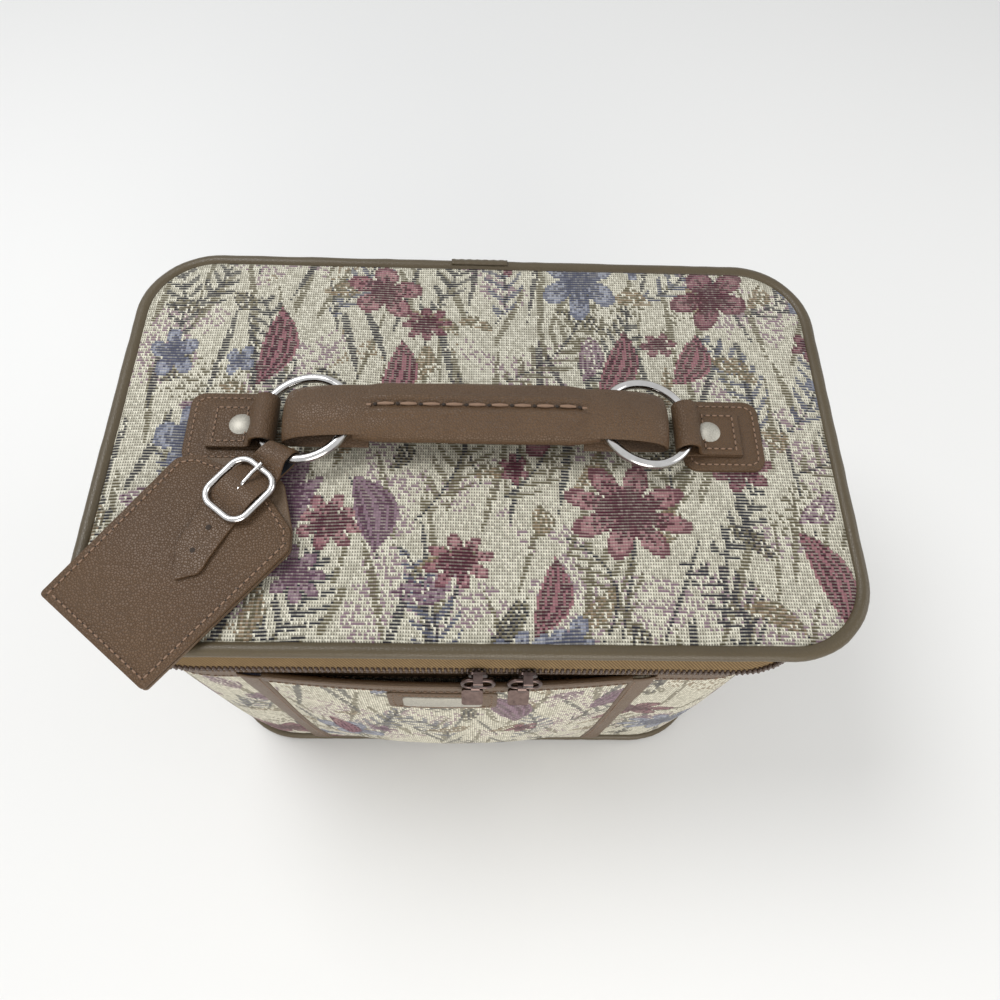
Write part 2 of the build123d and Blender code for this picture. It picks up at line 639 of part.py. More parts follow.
def make_tag():
    frame, reach = tag_frame()
    panel = tag_outline(TAG_L, TAG_NECK_L)
    back = extrude(frame * panel, amount=TAG_T)
    front_low = TAG_T + TAG_FILL + TAG_GAP
    front = extrude(frame.offset(front_low) * tag_outline(TAG_L, TAG_L + TAG_NECK_FRONT), amount=TAG_T)
    card_place = frame.offset(TAG_T) * Pos(TAG_L * 0.36, 0)
    card = extrude(card_place * Rectangle(TAG_L * 0.6, TAG_W_BOTTOM - 2 * CARD_MARGIN), amount=CARD_T)
    notch = frame.offset(front_low) * Pos(BUCKLE_AT, 0) * Box(9.0, 2 * PRONG_R + 1.0, 4 * TAG_T)
    write("tag_back", back)
    write("tag_front", front - notch)
    write("tag_card", card)

    t = TAG_STRAP_T
    inside = TAG_T + TAG_GAP + t / 2
    top = front_low + TAG_T
    bar_z = top + 0.6 + BUCKLE_BAR_R
    over_bar = bar_z + BUCKLE_BAR_R + BUCKLE_PLAY + t / 2
    under_frame = top + 0.3 + t / 2
    frame_z = under_frame + t / 2 + BUCKLE_PLAY + BUCKLE_WIRE_R
    ring_z = (frame.to_local_coords(Vector(*ring_foot()))).Z
    low = ring_z - RING_WIRE_R - TAG_LOOP_PLAY - t / 2
    high = ring_z + RING_WIRE_R + TAG_LOOP_PLAY + t / 2
    fold = reach + TAG_FOLD
    narrow = TAG_FOLD_W
    skew = TAG_SKEW
    far = BUCKLE_AT + BUCKLE_L / 2 - BUCKLE_WIRE_R
    near = BUCKLE_AT - BUCKLE_L / 2 + BUCKLE_WIRE_R

    def station(x, z, lean, turn=0.0, y=0.0, width=TAG_STRAP_W):
        """lean is the strap's slope seen from the side, turn its skew seen from above."""
        a = radians(turn)
        s = radians(lean)
        across = (-sin(a), cos(a), 0)
        normal = (-sin(s) * cos(a), -sin(s) * sin(a), cos(s))
        centre = frame.from_local_coords(Vector(x, y, z))
        plane_across = frame.from_local_coords(Vector(*across)) - frame.origin
        plane_normal = frame.from_local_coords(Vector(*normal)) - frame.origin
        return centre, tuple(plane_across), tuple(plane_normal), width

    mid = (low + high) / 2
    bend = (high - low) / 2
    route = [
        station(TAG_L - STRAP_ROOT_IN, inside, 0),
        station(TAG_L - 2.0, inside, 0),
        station(TAG_NECK_L + 1.0, inside, -6, 0.3 * skew),
        station(reach - 3.0, low, 0, skew, 0, narrow),
        station(fold - bend, low, 0, skew, 0, narrow),
        station(fold - 0.29 * bend, low + 0.29 * bend, 45, skew, 0, narrow),
        station(fold, mid, 90, skew, 0, narrow),
        station(fold - 0.29 * bend, high - 0.29 * bend, 135, skew, 0, narrow),
        station(fold - bend, high, 180, skew, 0, narrow),
        station(reach - 3.0, high, 180, skew, 0, narrow),
        station(far + 1.0, under_frame, 190, 0.2 * skew),
        station(far - 2.0, under_frame, 176, 0),
        station(BUCKLE_AT + 2.0, over_bar, 180, 0),
        station(BUCKLE_AT - 2.0, over_bar, 180, 0),
        station(near + 2.0, under_frame, 184, 0),
        station(near - 2.0, under_frame, 180, -4),
        station(TAG_L - STRAP_TIP_IN + STRAP_TIP_L, under_frame - 0.1, 180, -12, -6.0),
        station(TAG_L - STRAP_TIP_IN, under_frame - 0.1, 180, -12, -7.4, TAG_STRAP_W * 0.35),
    ]
    prong_hole = frame.offset(over_bar) * Pos(BUCKLE_AT + 0.8, 0) * Box(8.8, 2 * PRONG_R + 0.8, 9.0)
    write("tag_strap", ribbon(route, t) - prong_hole)

    place = frame.offset(frame_z) * Pos(BUCKLE_AT, 0)
    loop = place * RectangleRounded(
        BUCKLE_L - 2 * BUCKLE_WIRE_R, BUCKLE_W - 2 * BUCKLE_WIRE_R, BUCKLE_CORNER - BUCKLE_WIRE_R
    ).wire()
    section = Plane(origin=loop @ 0, z_dir=loop % 0) * Circle(BUCKLE_WIRE_R)
    buckle = sweep(section, path=loop)
    bar_plane = frame.offset(bar_z) * Pos(BUCKLE_AT, 0) * Rot(-90, 0, 0)
    bar = Plane(bar_plane) * Cylinder(BUCKLE_BAR_R, BUCKLE_W - 2 * BUCKLE_WIRE_R)
    for side in (-1, 1):
        foot = frame.offset(bar_z) * Pos(BUCKLE_AT, side * (BUCKLE_W / 2 - BUCKLE_WIRE_R))
        bar += Plane(foot) * Cylinder(
            BUCKLE_BAR_R, frame_z - bar_z, align=(Align.CENTER, Align.CENTER, Align.MIN)
        )
    write("tag_buckle", buckle + bar)
    return frame, bar_z, frame_z


def make_prong(frame, bar_z, frame_z):
    eye_r = BUCKLE_BAR_R + PRONG_PLAY + PRONG_R
    far = BUCKLE_L / 2 - BUCKLE_WIRE_R
    rest_z = frame_z + BUCKLE_WIRE_R + 0.1 + PRONG_R
    side = Plane(frame.offset(bar_z) * Pos(BUCKLE_AT, 0) * Rot(90, 0, 0))
    eye = side * Torus(eye_r, PRONG_R)
    path = FilletPolyline(
        (eye_r, 0.0), (eye_r, rest_z - bar_z - 1.0), (far - 4.0, rest_z - bar_z), (far + 1.6, rest_z - bar_z),
        radius=PRONG_BEND_R,
    )
    path = side * path
    section = Plane(origin=path @ 0, z_dir=path % 0) * Circle(PRONG_R)
    shaft = sweep(section, path=path)
    write("buckle_prong", eye + shaft)


# Zip sliders with their pulls
def make_slider(name, x):
    """Two plates about the rows of teeth, joined by a thin neck that runs between the rows."""
    front = ZIP_Y - ZIP_D / 2 + TAPE_T / 2 - ROW_T / 2
    face_y = front - SLIDER_PLAY - SLIDER_PLATE_T
    rear_y = front + ROW_T + SLIDER_PLAY
    face = upright_plate(SLIDER_L, SLIDER_H, SLIDER_CORNER, SLIDER_PLATE_T, x, face_y, ZIP_Z)
    rear = upright_plate(SLIDER_L, SLIDER_H, SLIDER_CORNER, SLIDER_PLATE_T, x, rear_y, ZIP_Z)
    neck_l = rear_y - face_y
    neck = Pos(x, face_y + neck_l / 2, ZIP_Z) * Box(SLIDER_NECK_L, neck_l, SLIDER_NECK_H)
    outside = (Align.CENTER, Align.MAX, Align.CENTER)
    lug = Pos(x, face_y, ZIP_Z) * Box(LUG_L, LUG_REACH, LUG_H, align=outside)
    lug = fillet(lug.edges().filter_by(Axis.X).group_by(Axis.Y)[0], LUG_ROUND)
    hole = Pos(x, face_y, ZIP_Z) * Box(LUG_L, LUG_REACH - LUG_BAR, LUG_H - 2 * LUG_BAR, align=outside)
    write(f"slider_{name}", face + rear + neck + (lug - hole))
    return face_y - (LUG_REACH - LUG_BAR) / 2


def make_pull(name, x, link_y, shift):
    """An oval link through the slider's lug and a bordered tab that hangs on it."""
    pivot = Pos(x + shift, link_y, ZIP_Z) * Rot(-LINK_LEAN, 0, 0)
    drop = LINK_H - 2 * LINK_R
    upright = Plane(origin=(0, 0, -drop / 2), x_dir=(1, 0, 0), z_dir=(0, -1, 0))
    write(f"pull_link_{name}", pivot * stadium_ring(LINK_W, LINK_H, LINK_R, upright))

    hang = pivot * Pos(0, 0, -drop) * Rot(LINK_LEAN - PULL_LEAN, 0, 0)
    bore = LINK_R + PULL_EYE_PLAY
    eye = Pos(PULL_EYE_SHIFT, 0, 0) * Rot(0, 90, 0) * Cylinder(bore + PULL_EYE_T, PULL_EYE_L)
    plate = Pos(PULL_SHIFT, PULL_T / 2, -bore - PULL_H / 2) * Rot(90, 0, 0) * extrude(
        RectangleRounded(PULL_W, PULL_H, PULL_CORNER), amount=PULL_T
    )
    field_h = PULL_H - PULL_EYE_T - 2 * PULL_RIM
    field = Pos(PULL_SHIFT, 0, -bore - PULL_EYE_T - PULL_RIM - field_h / 2) * Box(
        PULL_W - 2 * PULL_RIM, PULL_T - 2 * PULL_SUNK, field_h
    )
    sunk = Pos(0, -PULL_T + PULL_SUNK, 0) * field
    tab = plate - sunk + eye
    tab -= Rot(0, 90, 0) * Cylinder(bore, 4 * PULL_W)
    write(f"pull_tab_{name}", hang * tab)


# Elastic loops along the inside of the back wall
def make_loops():
    wall = BODY_D / 2 - WALL_T
    back = wall - LOOP_BAND_T
    strip_l = BRUSH_LOOP_PITCH * (BRUSH_LOOPS - 1) + BRUSH_LOOP_W + 2 * LOOP_BAND_END
    hollow_w = BRUSH_LOOP_W / 2 - LOOP_BAND_T
    places = [Pos((i - (BRUSH_LOOPS - 1) / 2) * BRUSH_LOOP_PITCH, back) for i in range(BRUSH_LOOPS)]
    strip = Pos(0, wall - LOOP_BAND_T / 2) * Rectangle(strip_l, LOOP_BAND_T)
    profile = strip
    for place in places:
        profile += place * Ellipse(BRUSH_LOOP_W / 2, BRUSH_LOOP_REACH)
    for place in places:
        profile -= place * Ellipse(hollow_w, BRUSH_LOOP_REACH - LOOP_BAND_T)
    profile += strip
    inside = Rectangle(2 * strip_l, 4 * BRUSH_LOOP_REACH, align=(Align.CENTER, Align.MAX))
    profile &= Pos(0, wall) * inside
    write("elastic_loops", extrude(Plane.XY.offset(LOOP_BAND_Z) * profile, amount=LOOP_BAND_H))


if __name__ == "__main__":
    trim = make_body()
    make_pocket(trim)
    make_lid()
    make_mirror()
    make_zip()
    for hand in (-1, 1):
        make_tab(hand)
    make_rivets()
    write("ring_left", make_ring(-1))
    write("ring_right", make_ring(1))
    make_handle()
    buckle_place = make_tag()
    make_prong(*buckle_place)
    for hand, middle, shift in (
        ("left", SLIDER_LEFT_X, LINK_LEFT_SHIFT),
        ("right", SLIDER_RIGHT_X, LINK_RIGHT_SHIFT),
    ):
        make_pull(hand, middle, make_slider(hand, middle), shift)
    make_loops()
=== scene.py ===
# %% [markdown]
# # A soft train case
# The case is a rounded box of tapestry cloth, trimmed with pebble-grained vinyl. A zip runs
# round three sides under a padded lid, and the lid carries a ringed handle and a luggage tag.
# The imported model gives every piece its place, so this script only dresses it: soft pieces are
# modelled again with their folds, seams and stitches, and hard ones keep their shape.

from math import atan2, copysign, cos, exp, hypot, pi, radians, sin, sqrt

import bmesh
import bpy
from mathutils import Matrix, Vector, noise


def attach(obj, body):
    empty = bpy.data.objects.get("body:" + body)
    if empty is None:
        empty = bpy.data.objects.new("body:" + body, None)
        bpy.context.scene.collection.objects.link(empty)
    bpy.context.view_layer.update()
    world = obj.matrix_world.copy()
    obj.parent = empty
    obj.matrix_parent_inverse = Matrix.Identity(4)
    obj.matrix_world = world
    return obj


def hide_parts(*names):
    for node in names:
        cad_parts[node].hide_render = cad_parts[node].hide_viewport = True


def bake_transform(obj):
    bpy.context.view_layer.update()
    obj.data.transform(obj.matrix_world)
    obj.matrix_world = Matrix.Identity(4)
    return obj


MM = 0.001
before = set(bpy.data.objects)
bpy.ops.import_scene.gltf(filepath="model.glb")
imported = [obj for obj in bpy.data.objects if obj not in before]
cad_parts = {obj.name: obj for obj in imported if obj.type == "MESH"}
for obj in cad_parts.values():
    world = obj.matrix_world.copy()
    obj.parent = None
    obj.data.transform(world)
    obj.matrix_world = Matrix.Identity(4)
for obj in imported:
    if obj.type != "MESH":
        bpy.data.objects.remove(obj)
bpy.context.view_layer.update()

# %% [markdown]
# Materials are built from nodes. A Value wraps one output of a node, so that sums and products
# can be written as plain arithmetic: each of them adds a Math node to the same tree. Nothing is
# worked out here in numbers, the nodes do it when the picture is rendered.


# %% Node helpers
class Value:
    """One output of a node; arithmetic with it adds Math nodes to its tree."""

    def __init__(self, socket):
        self.socket = socket
        self.tree = socket.id_data

    def calc(self, operation, b=0.0, c=0.0):
        return out(node(self.tree, "ShaderNodeMath", {0: self, 1: b, 2: c}, operation=operation))

    def __add__(self, other):
        return self.calc("ADD", other)

    def __sub__(self, other):
        return self.calc("SUBTRACT", other)

    def __rsub__(self, other):
        return out(node(self.tree, "ShaderNodeMath", {0: other, 1: self}, operation="SUBTRACT"))

    def __mul__(self, other):
        return self.calc("MULTIPLY", other)

    def __truediv__(self, other):
        return self.calc("DIVIDE", other)

    def __lt__(self, other):
        return self.calc("LESS_THAN", other)

    def __gt__(self, other):
        return self.calc("GREATER_THAN", other)


def fill(socket, value):
    """Links a Value to an input, or writes a constant there."""
    if isinstance(value, Value):
        socket.id_data.links.new(value.socket, socket)
    else:
        socket.default_value = value


def node(tree, kind, inputs=None, **settings):
    made = tree.nodes.new(kind)
    for key, value in settings.items():
        setattr(made, key, value)
    for key, value in (inputs or {}).items():
        fill(made.inputs[key], value)
    return made


def out(made, key=0):
    return Value(made.outputs[key])


def blend_colour(tree, factor, a, b, mode="MIX"):
    return out(node(tree, "ShaderNodeMix", {0: factor, 6: a, 7: b}, data_type="RGBA", blend_type=mode), 2)


def noise_at(place, scale, detail=2.0, output="Fac"):
    inputs = {"Vector": place, "Scale": scale, "Detail": detail}
    return out(node(place.tree, "ShaderNodeTexNoise", inputs), output)


def vector_calc(operation, a, b, c=(0, 0, 0)):
    return out(node(a.tree, "ShaderNodeVectorMath", {0: a, 1: b, 2: c}, operation=operation))


def map_range(value, from_low, from_high, low=0.0, high=1.0):
    inputs = {0: value, 1: from_low, 2: from_high, 3: low, 4: high}
    return out(node(value.tree, "ShaderNodeMapRange", inputs))


def split(value, kind="XYZ"):
    """The three parts of a vector, or of a colour."""
    made = node(value.tree, "ShaderNodeSeparate" + kind, {0: value})
    return [Value(socket) for socket in made.outputs]


def object_place(tree):
    return out(node(tree, "ShaderNodeTexCoord"), "Object")


def cloth_place(tree):
    return out(node(tree, "ShaderNodeUVMap", uv_map="cloth"))


def new_group(name, numbers, outputs):
    """An empty group with a Vector and some numbers going in, and numbers coming out."""
    tree = bpy.data.node_groups.new(name, "ShaderNodeTree")
    tree.interface.new_socket("Vector", in_out="INPUT", socket_type="NodeSocketVector")
    for label, default in numbers.items():
        socket = tree.interface.new_socket(label, in_out="INPUT", socket_type="NodeSocketFloat")
        socket.default_value = default
    for label in outputs:
        tree.interface.new_socket(label, in_out="OUTPUT", socket_type="NodeSocketFloat")
    entry, end = tree.nodes.new("NodeGroupInput"), tree.nodes.new("NodeGroupOutput")
    return tree, {label: out(entry, label) for label in ("Vector", *numbers)}, end.inputs


def place_group(group, inputs):
    made = node(inputs["Vector"].tree, "ShaderNodeGroup", inputs, node_tree=group)
    return {socket.name: Value(socket) for socket in made.outputs}


def new_material(name, **fixed):
    material = bpy.data.materials.new(name)
    material.use_nodes = True
    shader = material.node_tree.nodes["Principled BSDF"]
    for key, value in fixed.items():
        shader.inputs[key.replace("_", " ")].default_value = value
    return material, material.node_tree, shader


def set_bump(shader, height, strength, distance):
    inputs = {"Height": height, "Strength": strength, "Distance": distance}
    fill(shader.inputs["Normal"], out(node(height.tree, "ShaderNodeBump", inputs), "Normal"))


print("node helpers ready")

# %% [markdown]
# Vinyl is printed with a leather grain: small rounded pebbles with fine valleys between them.
# Voronoi cells give the pebbles, and a slow noise makes some areas a little duller and darker.
# The valleys are painted darker as well: that is painted shade.

# %% Group: pebble grain
pebbles, given, result = new_group(
    "Pebble grain", {"Cells per metre": 900.0, "Mottle per metre": 25.0}, ["Height", "Valley", "Mottle"]
)
warp = noise_at(given["Vector"], 260.0, output="Color")
warp = out(node(pebbles, "ShaderNodeVectorMath", {0: warp, "Scale": 0.0012}, operation="SCALE"))
cell_inputs = {"Vector": vector_calc("ADD", given["Vector"], warp), "Scale": given["Cells per metre"]}
cells = node(pebbles, "ShaderNodeTexVoronoi", cell_inputs, feature="F1")
edges = node(pebbles, "ShaderNodeTexVoronoi", cell_inputs, feature="DISTANCE_TO_EDGE")
valley = map_range(out(edges, "Distance"), 0.0, 0.16, 1.0, 0.0)
fill(result["Height"], 1.0 - out(cells, "Distance") - valley)
fill(result["Valley"], valley)
fill(result["Mottle"], noise_at(given["Vector"], given["Mottle per metre"], 4.0))
print("pebble grain:", len(pebbles.nodes), "nodes")


# %% Vinyl finishes
def vinyl(name, dark, light, cells_per_metre=900.0, depth=0.00025, roughness=0.46, grain=0.5):
    material, tree, shader = new_material(name, Specular_IOR_Level=0.34)
    skin = place_group(pebbles, {"Vector": object_place(tree), "Cells per metre": cells_per_metre})
    ground = blend_colour(tree, skin["Mottle"], dark, light)
    # Painted shade: the grain's valleys are darkened, by the share given as grain.
    valley_shade_colour = [part * 0.45 for part in dark[:3]] + [1]
    fill(shader.inputs["Base Color"], blend_colour(tree, skin["Valley"] * grain, ground, valley_shade_colour))
    rough = skin["Mottle"].calc("MULTIPLY_ADD", 0.18, roughness - 0.09)
    fill(shader.inputs["Roughness"], rough + skin["Valley"] * 0.12)
    set_bump(shader, skin["Height"], 0.55, depth)
    return material


lid_vinyl = vinyl("brown pebble vinyl", (0.069, 0.036, 0.015, 1), (0.112, 0.062, 0.028, 1))
handle_vinyl = vinyl("warm handle vinyl", (0.069, 0.037, 0.017, 1), (0.120, 0.068, 0.032, 1), roughness=0.40)
piping_vinyl = vinyl(
    "smooth piping vinyl", (0.064, 0.047, 0.025, 1), (0.098, 0.076, 0.043, 1), 700.0, 0.00008, 0.34, 0.12
)
binding_vinyl = vinyl(
    "soft binding vinyl", (0.078, 0.046, 0.024, 1), (0.118, 0.074, 0.040, 1), 800.0, 0.00012, 0.42, 0.2
)
strap_back = vinyl(
    "dark strap back", (0.010, 0.012, 0.016, 1), (0.024, 0.028, 0.036, 1), 900.0, 0.0001, 0.60, 0.2
)
print("vinyls:", lid_vinyl.name, piping_vinyl.name, binding_vinyl.name, handle_vinyl.name)

# %% [markdown]
# The tapestry is a jacquard: each motif is built from whole threads, so its edges go in steps.
# The pattern is worked out on a grid of threads. The cloth is cut into irregular cells, as a
# Voronoi pattern gives them, and each cell grows one motif about its middle, with a size, turn and
# colour of its own. Flower, fern and leaf are groups that answer: is this thread in the shape?


# %% Groups: flower, fern and leaf
def turned(given):
    """Coordinates along and across a motif that is turned about its middle."""
    x, y, _ = split(given["Vector"])
    c = given["Turn"].calc("COSINE")
    s = given["Turn"].calc("SINE")
    return x * c + y * s, y * c - x * s


flower, given, result = new_group(
    "Woven flower", {"Radius": 0.02, "Petals": 7.0, "Turn": 0.0}, ["Inside", "Lines", "Depth"]
)
along, across = turned(given)
across = across * 1.25
reach = (along * along + across * across).calc("SQRT")
angle = across.calc("ARCTAN2", along) * (given["Petals"].calc("FLOOR") * 0.5)
lobe = angle.calc("COSINE").calc("ABSOLUTE")
edge = given["Radius"] * lobe.calc("POWER", 0.7).calc("MULTIPLY_ADD", 0.66, 0.34)
depth = reach / edge
inside = depth < 1.0
rib = lobe < 0.42
streak = (angle * 3.0).calc("COSINE").calc("ABSOLUTE") > 0.9
rim = (depth > 0.86) * 0.8
lines = rib.calc("MAXIMUM", rim).calc("MAXIMUM", streak * (depth < 0.7))
fill(result["Inside"], inside)
fill(result["Lines"], inside * lines)
fill(result["Depth"], depth)

LEAFLET_PITCH, STALK_HALF = 0.0075, 0.0007
fern, given, result = new_group(
    "Woven fern", {"Length": 0.03, "Width": 0.012, "Turn": 0.0}, ["Inside", "Stalk"]
)
along, across = turned(given)
part = along / given["Length"]
off = (across - part * part * given["Width"]).calc("ABSOLUTE")
near = part.calc("ABSOLUTE") < 1.0
taper = given["Width"] * (1.0 - part * part)
comb = ((along - off * 0.9) / LEAFLET_PITCH).calc("FRACT")
fill(result["Inside"], near * ((comb < 0.42) * (off < taper)))
fill(result["Stalk"], near * (off < STALK_HALF))

leaf, given, result = new_group(
    "Woven leaf", {"Length": 0.015, "Width": 0.006, "Turn": 0.0}, ["Inside", "Vein"]
)
along, across = turned(given)
part = along / given["Length"]
square = part * part
off = (across - square * (given["Width"] * 0.6)).calc("ABSOLUTE")
wide = given["Width"] * (1.0 - square)
inside = off < wide
stripes = (off / (wide * 0.42)).calc("FRACT") < 0.36
fill(result["Inside"], inside)
fill(result["Vein"], inside * stripes)
print("motif groups:", len(flower.nodes), len(fern.nodes), len(leaf.nodes), "nodes")

# %% [markdown]
# The cloth reads its own UV map, laid out in metres: across the case and up the wall. The map is
# first rounded to whole threads. In each row a pale thread lies over the upper part and the
# pattern shows between the pale ones: motifs drawn in bars stay faint on the pale threads, and
# filled ones cover them for the most part. Some threads are left out at random places.

# %% Tapestry: threads
tapestry, tree, shader = new_material(
    "floral tapestry", Roughness=0.85, Specular_IOR_Level=0.2, Sheen_Weight=0.1
)
WARP, WEFT = 0.00112, 0.00148
uv = cloth_place(tree)
x, y, _ = split(uv)
row_at = (y + noise_at(uv, 14.0, 1.0) * 0.006) / WEFT
column_at = x / WARP
whole_thread = {"X": column_at.calc("FLOOR"), "Y": row_at.calc("FLOOR")}
thread = out(node(tree, "ShaderNodeCombineXYZ", whole_thread))
chance = out(node(tree, "ShaderNodeTexWhiteNoise", {"Vector": thread}, noise_dimensions="2D"), "Value")
grid = vector_calc("MULTIPLY", thread, (WARP, WEFT, 0))
between = 1.0 - map_range(row_at.calc("FRACT"), 0.50, 0.60)
# Painted shade: dark dots in the gaps between the threads of the ground.
dot = between * (column_at.calc("FRACT") < 0.5)
cream = blend_colour(tree, chance, (0.490, 0.462, 0.366, 1), (0.700, 0.672, 0.556, 1))
ground = blend_colour(tree, dot * 0.78, cream, (0.080, 0.072, 0.054, 1))
bars = between.calc("MULTIPLY_ADD", 0.60, 0.38)
filled = between.calc("MULTIPLY_ADD", 0.30, 0.66)
print("thread nodes:", len(tree.nodes))


# %% Tapestry: motifs
def grow(motif, seed, per_metre, stretch, scatter, **ranges):
    """One motif in each irregular cell; the cell's three random numbers set its sizes and turn."""
    moved = vector_calc("MULTIPLY_ADD", grid, (1, stretch, 1), (*seed, 0))
    inputs = {"Vector": moved, "Scale": per_metre, "Randomness": scatter}
    cell = node(tree, "ShaderNodeTexVoronoi", inputs, voronoi_dimensions="2D")
    away = vector_calc("SUBTRACT", moved, out(cell, "Position"))
    local = vector_calc("MULTIPLY", away, (1, 1 / stretch, 1))
    dice = split(out(cell, "Color"), "Color")
    sizes = {key: map_range(number, 0, 1, *ends) for number, (key, ends) in zip(dice, ranges.items())}
    return place_group(motif, {"Vector": local, **sizes}), dice


def pick(value, colours):
    """One of several colours, chosen by a number from 0 to 1."""
    ramp = node(value.tree, "ShaderNodeValToRGB", {0: value})
    ramp.color_ramp.interpolation = "CONSTANT"
    for i in range(len(colours) - 2):
        ramp.color_ramp.elements.new(0.5)
    for i, colour in enumerate(colours):
        ramp.color_ramp.elements[i].position = i / len(colours)
        ramp.color_ramp.elements[i].color = colour
    return out(ramp)


def weave_in(below, mask, tint, density, show=bars):
    """Lays a colour over the cloth where mask says, in a share of the threads."""
    return blend_colour(tree, mask * (chance < density) * show, below, tint)


ink, olive, tan = (0.014, 0.014, 0.022, 1), (0.095, 0.080, 0.045, 1), (0.205, 0.145, 0.085, 1)
wine, rose, plum = (0.052, 0.007, 0.018, 1), (0.200, 0.078, 0.098, 1), (0.080, 0.034, 0.062, 1)
mauve, slate, lavender = (0.230, 0.150, 0.190, 1), (0.060, 0.066, 0.105, 1), (0.255, 0.272, 0.340, 1)
blush = (0.290, 0.130, 0.148, 1)

haze_tint = pick(noise_at(grid, 9.0), [tan, tan, mauve, olive, tan])
colour = weave_in(ground, noise_at(grid, 26.0, 3.0) > 0.54, haze_tint, 0.34)

for seed, per_metre, tint in (((0.31, 0.77), 62.0, olive), ((0.91, 0.13), 48.0, ink)):
    blade, dice = grow(
        leaf, seed, per_metre, 0.30, 1.0, Length=(0.018, 0.038), Width=(0.0009, 0.0021), Turn=(1.15, 2.0)
    )
    colour = weave_in(colour, blade["Inside"], tint, 0.94)

frond, dice = grow(
    fern, (0.17, 0.59), 21.0, 0.75, 0.8, Length=(0.022, 0.042), Width=(0.008, 0.014), Turn=(0.8, 2.3)
)
colour = weave_in(colour, frond["Inside"], pick(dice[1], [ink, slate, ink, olive]), 0.96)
colour = weave_in(colour, frond["Stalk"], ink, 0.95)

sprig, dice = grow(
    leaf, (0.47, 0.21), 27.0, 0.9, 0.8, Length=(0.008, 0.016), Width=(0.003, 0.0065), Turn=(0.0, 3.1)
)
colour = weave_in(colour, sprig["Inside"], pick(dice[1], [tan, olive, tan, mauve]), 0.8)
colour = weave_in(colour, sprig["Vein"], pick(dice[1], [olive, ink, olive, plum]), 0.9)

for seed, per_metre, radii in (((0.63, 0.37), 13.0, (0.016, 0.030)), ((0.05, 0.83), 15.0, (0.008, 0.016))):
    bloom, dice = grow(
        flower, seed, per_metre, 1.0, 0.75, Radius=radii, Petals=(4.0, 10.0), Turn=(0.0, 6.0)
    )
    deep = pick(dice[2], [wine, slate, plum, wine, slate, wine, plum])
    pale = pick(dice[2], [rose, lavender, mauve, blush, lavender, rose, mauve])
    outer = bloom["Depth"] > chance.calc("MULTIPLY_ADD", 0.6, 0.28)
    petal = blend_colour(tree, outer, deep, pale)
    mixed = dice[0].calc("MULTIPLY_ADD", 7.3, dice[1] * 3.1).calc("FRACT")
    grown = mixed > 0.28
    colour = weave_in(colour, bloom["Inside"] * grown, petal, 1.1, filled)
    colour = weave_in(colour, bloom["Lines"] * grown, deep, 0.97)

bud, dice = grow(
    leaf, (0.29, 0.43), 12.0, 0.8, 0.8, Length=(0.014, 0.024), Width=(0.006, 0.010), Turn=(1.1, 2.0)
)
colour = weave_in(colour, bud["Inside"], pick(dice[1], [rose, wine, plum]), 1.1, filled)
colour = weave_in(colour, bud["Vein"], pick(dice[1], [wine, blush, mauve]), 0.9, filled)
print("pattern nodes:", len(tree.nodes))

# %% Tapestry: relief
across_thread = (row_at * pi).calc("SINE").calc("ABSOLUTE")
along_thread = (column_at * pi).calc("SINE").calc("ABSOLUTE")
weave = across_thread.calc("POWER", 0.5) * along_thread.calc("POWER", 0.35)
# Painted shade: the colour darkens in the gaps between threads, following the relief, and varies a little at
# random by thread.
shade = weave.calc("MULTIPLY_ADD", 0.35, 0.68) * chance.calc("MULTIPLY_ADD", 0.2, 0.9)
grey = out(node(tree, "ShaderNodeCombineColor", {0: shade, 1: shade, 2: shade}))
fill(shader.inputs["Base Color"], blend_colour(tree, 1.0, colour, grey, "MULTIPLY"))
set_bump(shader, weave, 0.6, 0.0003)
print("tapestry:", len(tree.nodes), "nodes")

# %% [markdown]
# The zip's tape is a twill, so fine ridges run across it at a slant. The same group, with other
# numbers, gives the plain lining, the ribbed elastic and the board: a slanted wave, a crossing
# wave and some wear. The grooves between the ridges are painted darker than their tops: that
# is painted shade.

# %% Group: ridged cloth
ridges, given, result = new_group(
    "Ridged cloth", {"Along": 3000.0, "Up": 3000.0, "Cross": 0.3}, ["Height", "Mottle"]
)
x, y, _ = split(given["Vector"])
slanted = x * given["Along"] + y * given["Up"]
crossing = x * given["Along"] - y * given["Up"]
first, second = [wave.calc("SINE").calc("MULTIPLY_ADD", 0.5, 0.5) for wave in (slanted, crossing)]
fill(result["Height"], first + second * given["Cross"])
fill(result["Mottle"], noise_at(given["Vector"], 300.0, 5.0))


def ridged(name, dark, light, sizes, depth, roughness=0.8, place=object_place):
    """sizes are the waves along and up in radians per metre, and the crossing wave's share."""
    material, tree, shader = new_material(name, Roughness=roughness, Specular_IOR_Level=0.25)
    numbers = dict(zip(("Along", "Up", "Cross"), sizes))
    threads = place_group(ridges, {"Vector": place(tree), **numbers})
    # Painted shade: dark in the grooves and light on the ridge tops, following the waves' height.
    ground = blend_colour(tree, threads["Height"] * 0.75, dark, light)
    fill(shader.inputs["Base Color"], blend_colour(tree, threads["Mottle"] * 0.55, ground, dark))
    set_bump(shader, threads["Height"], 0.5, depth)
    return material


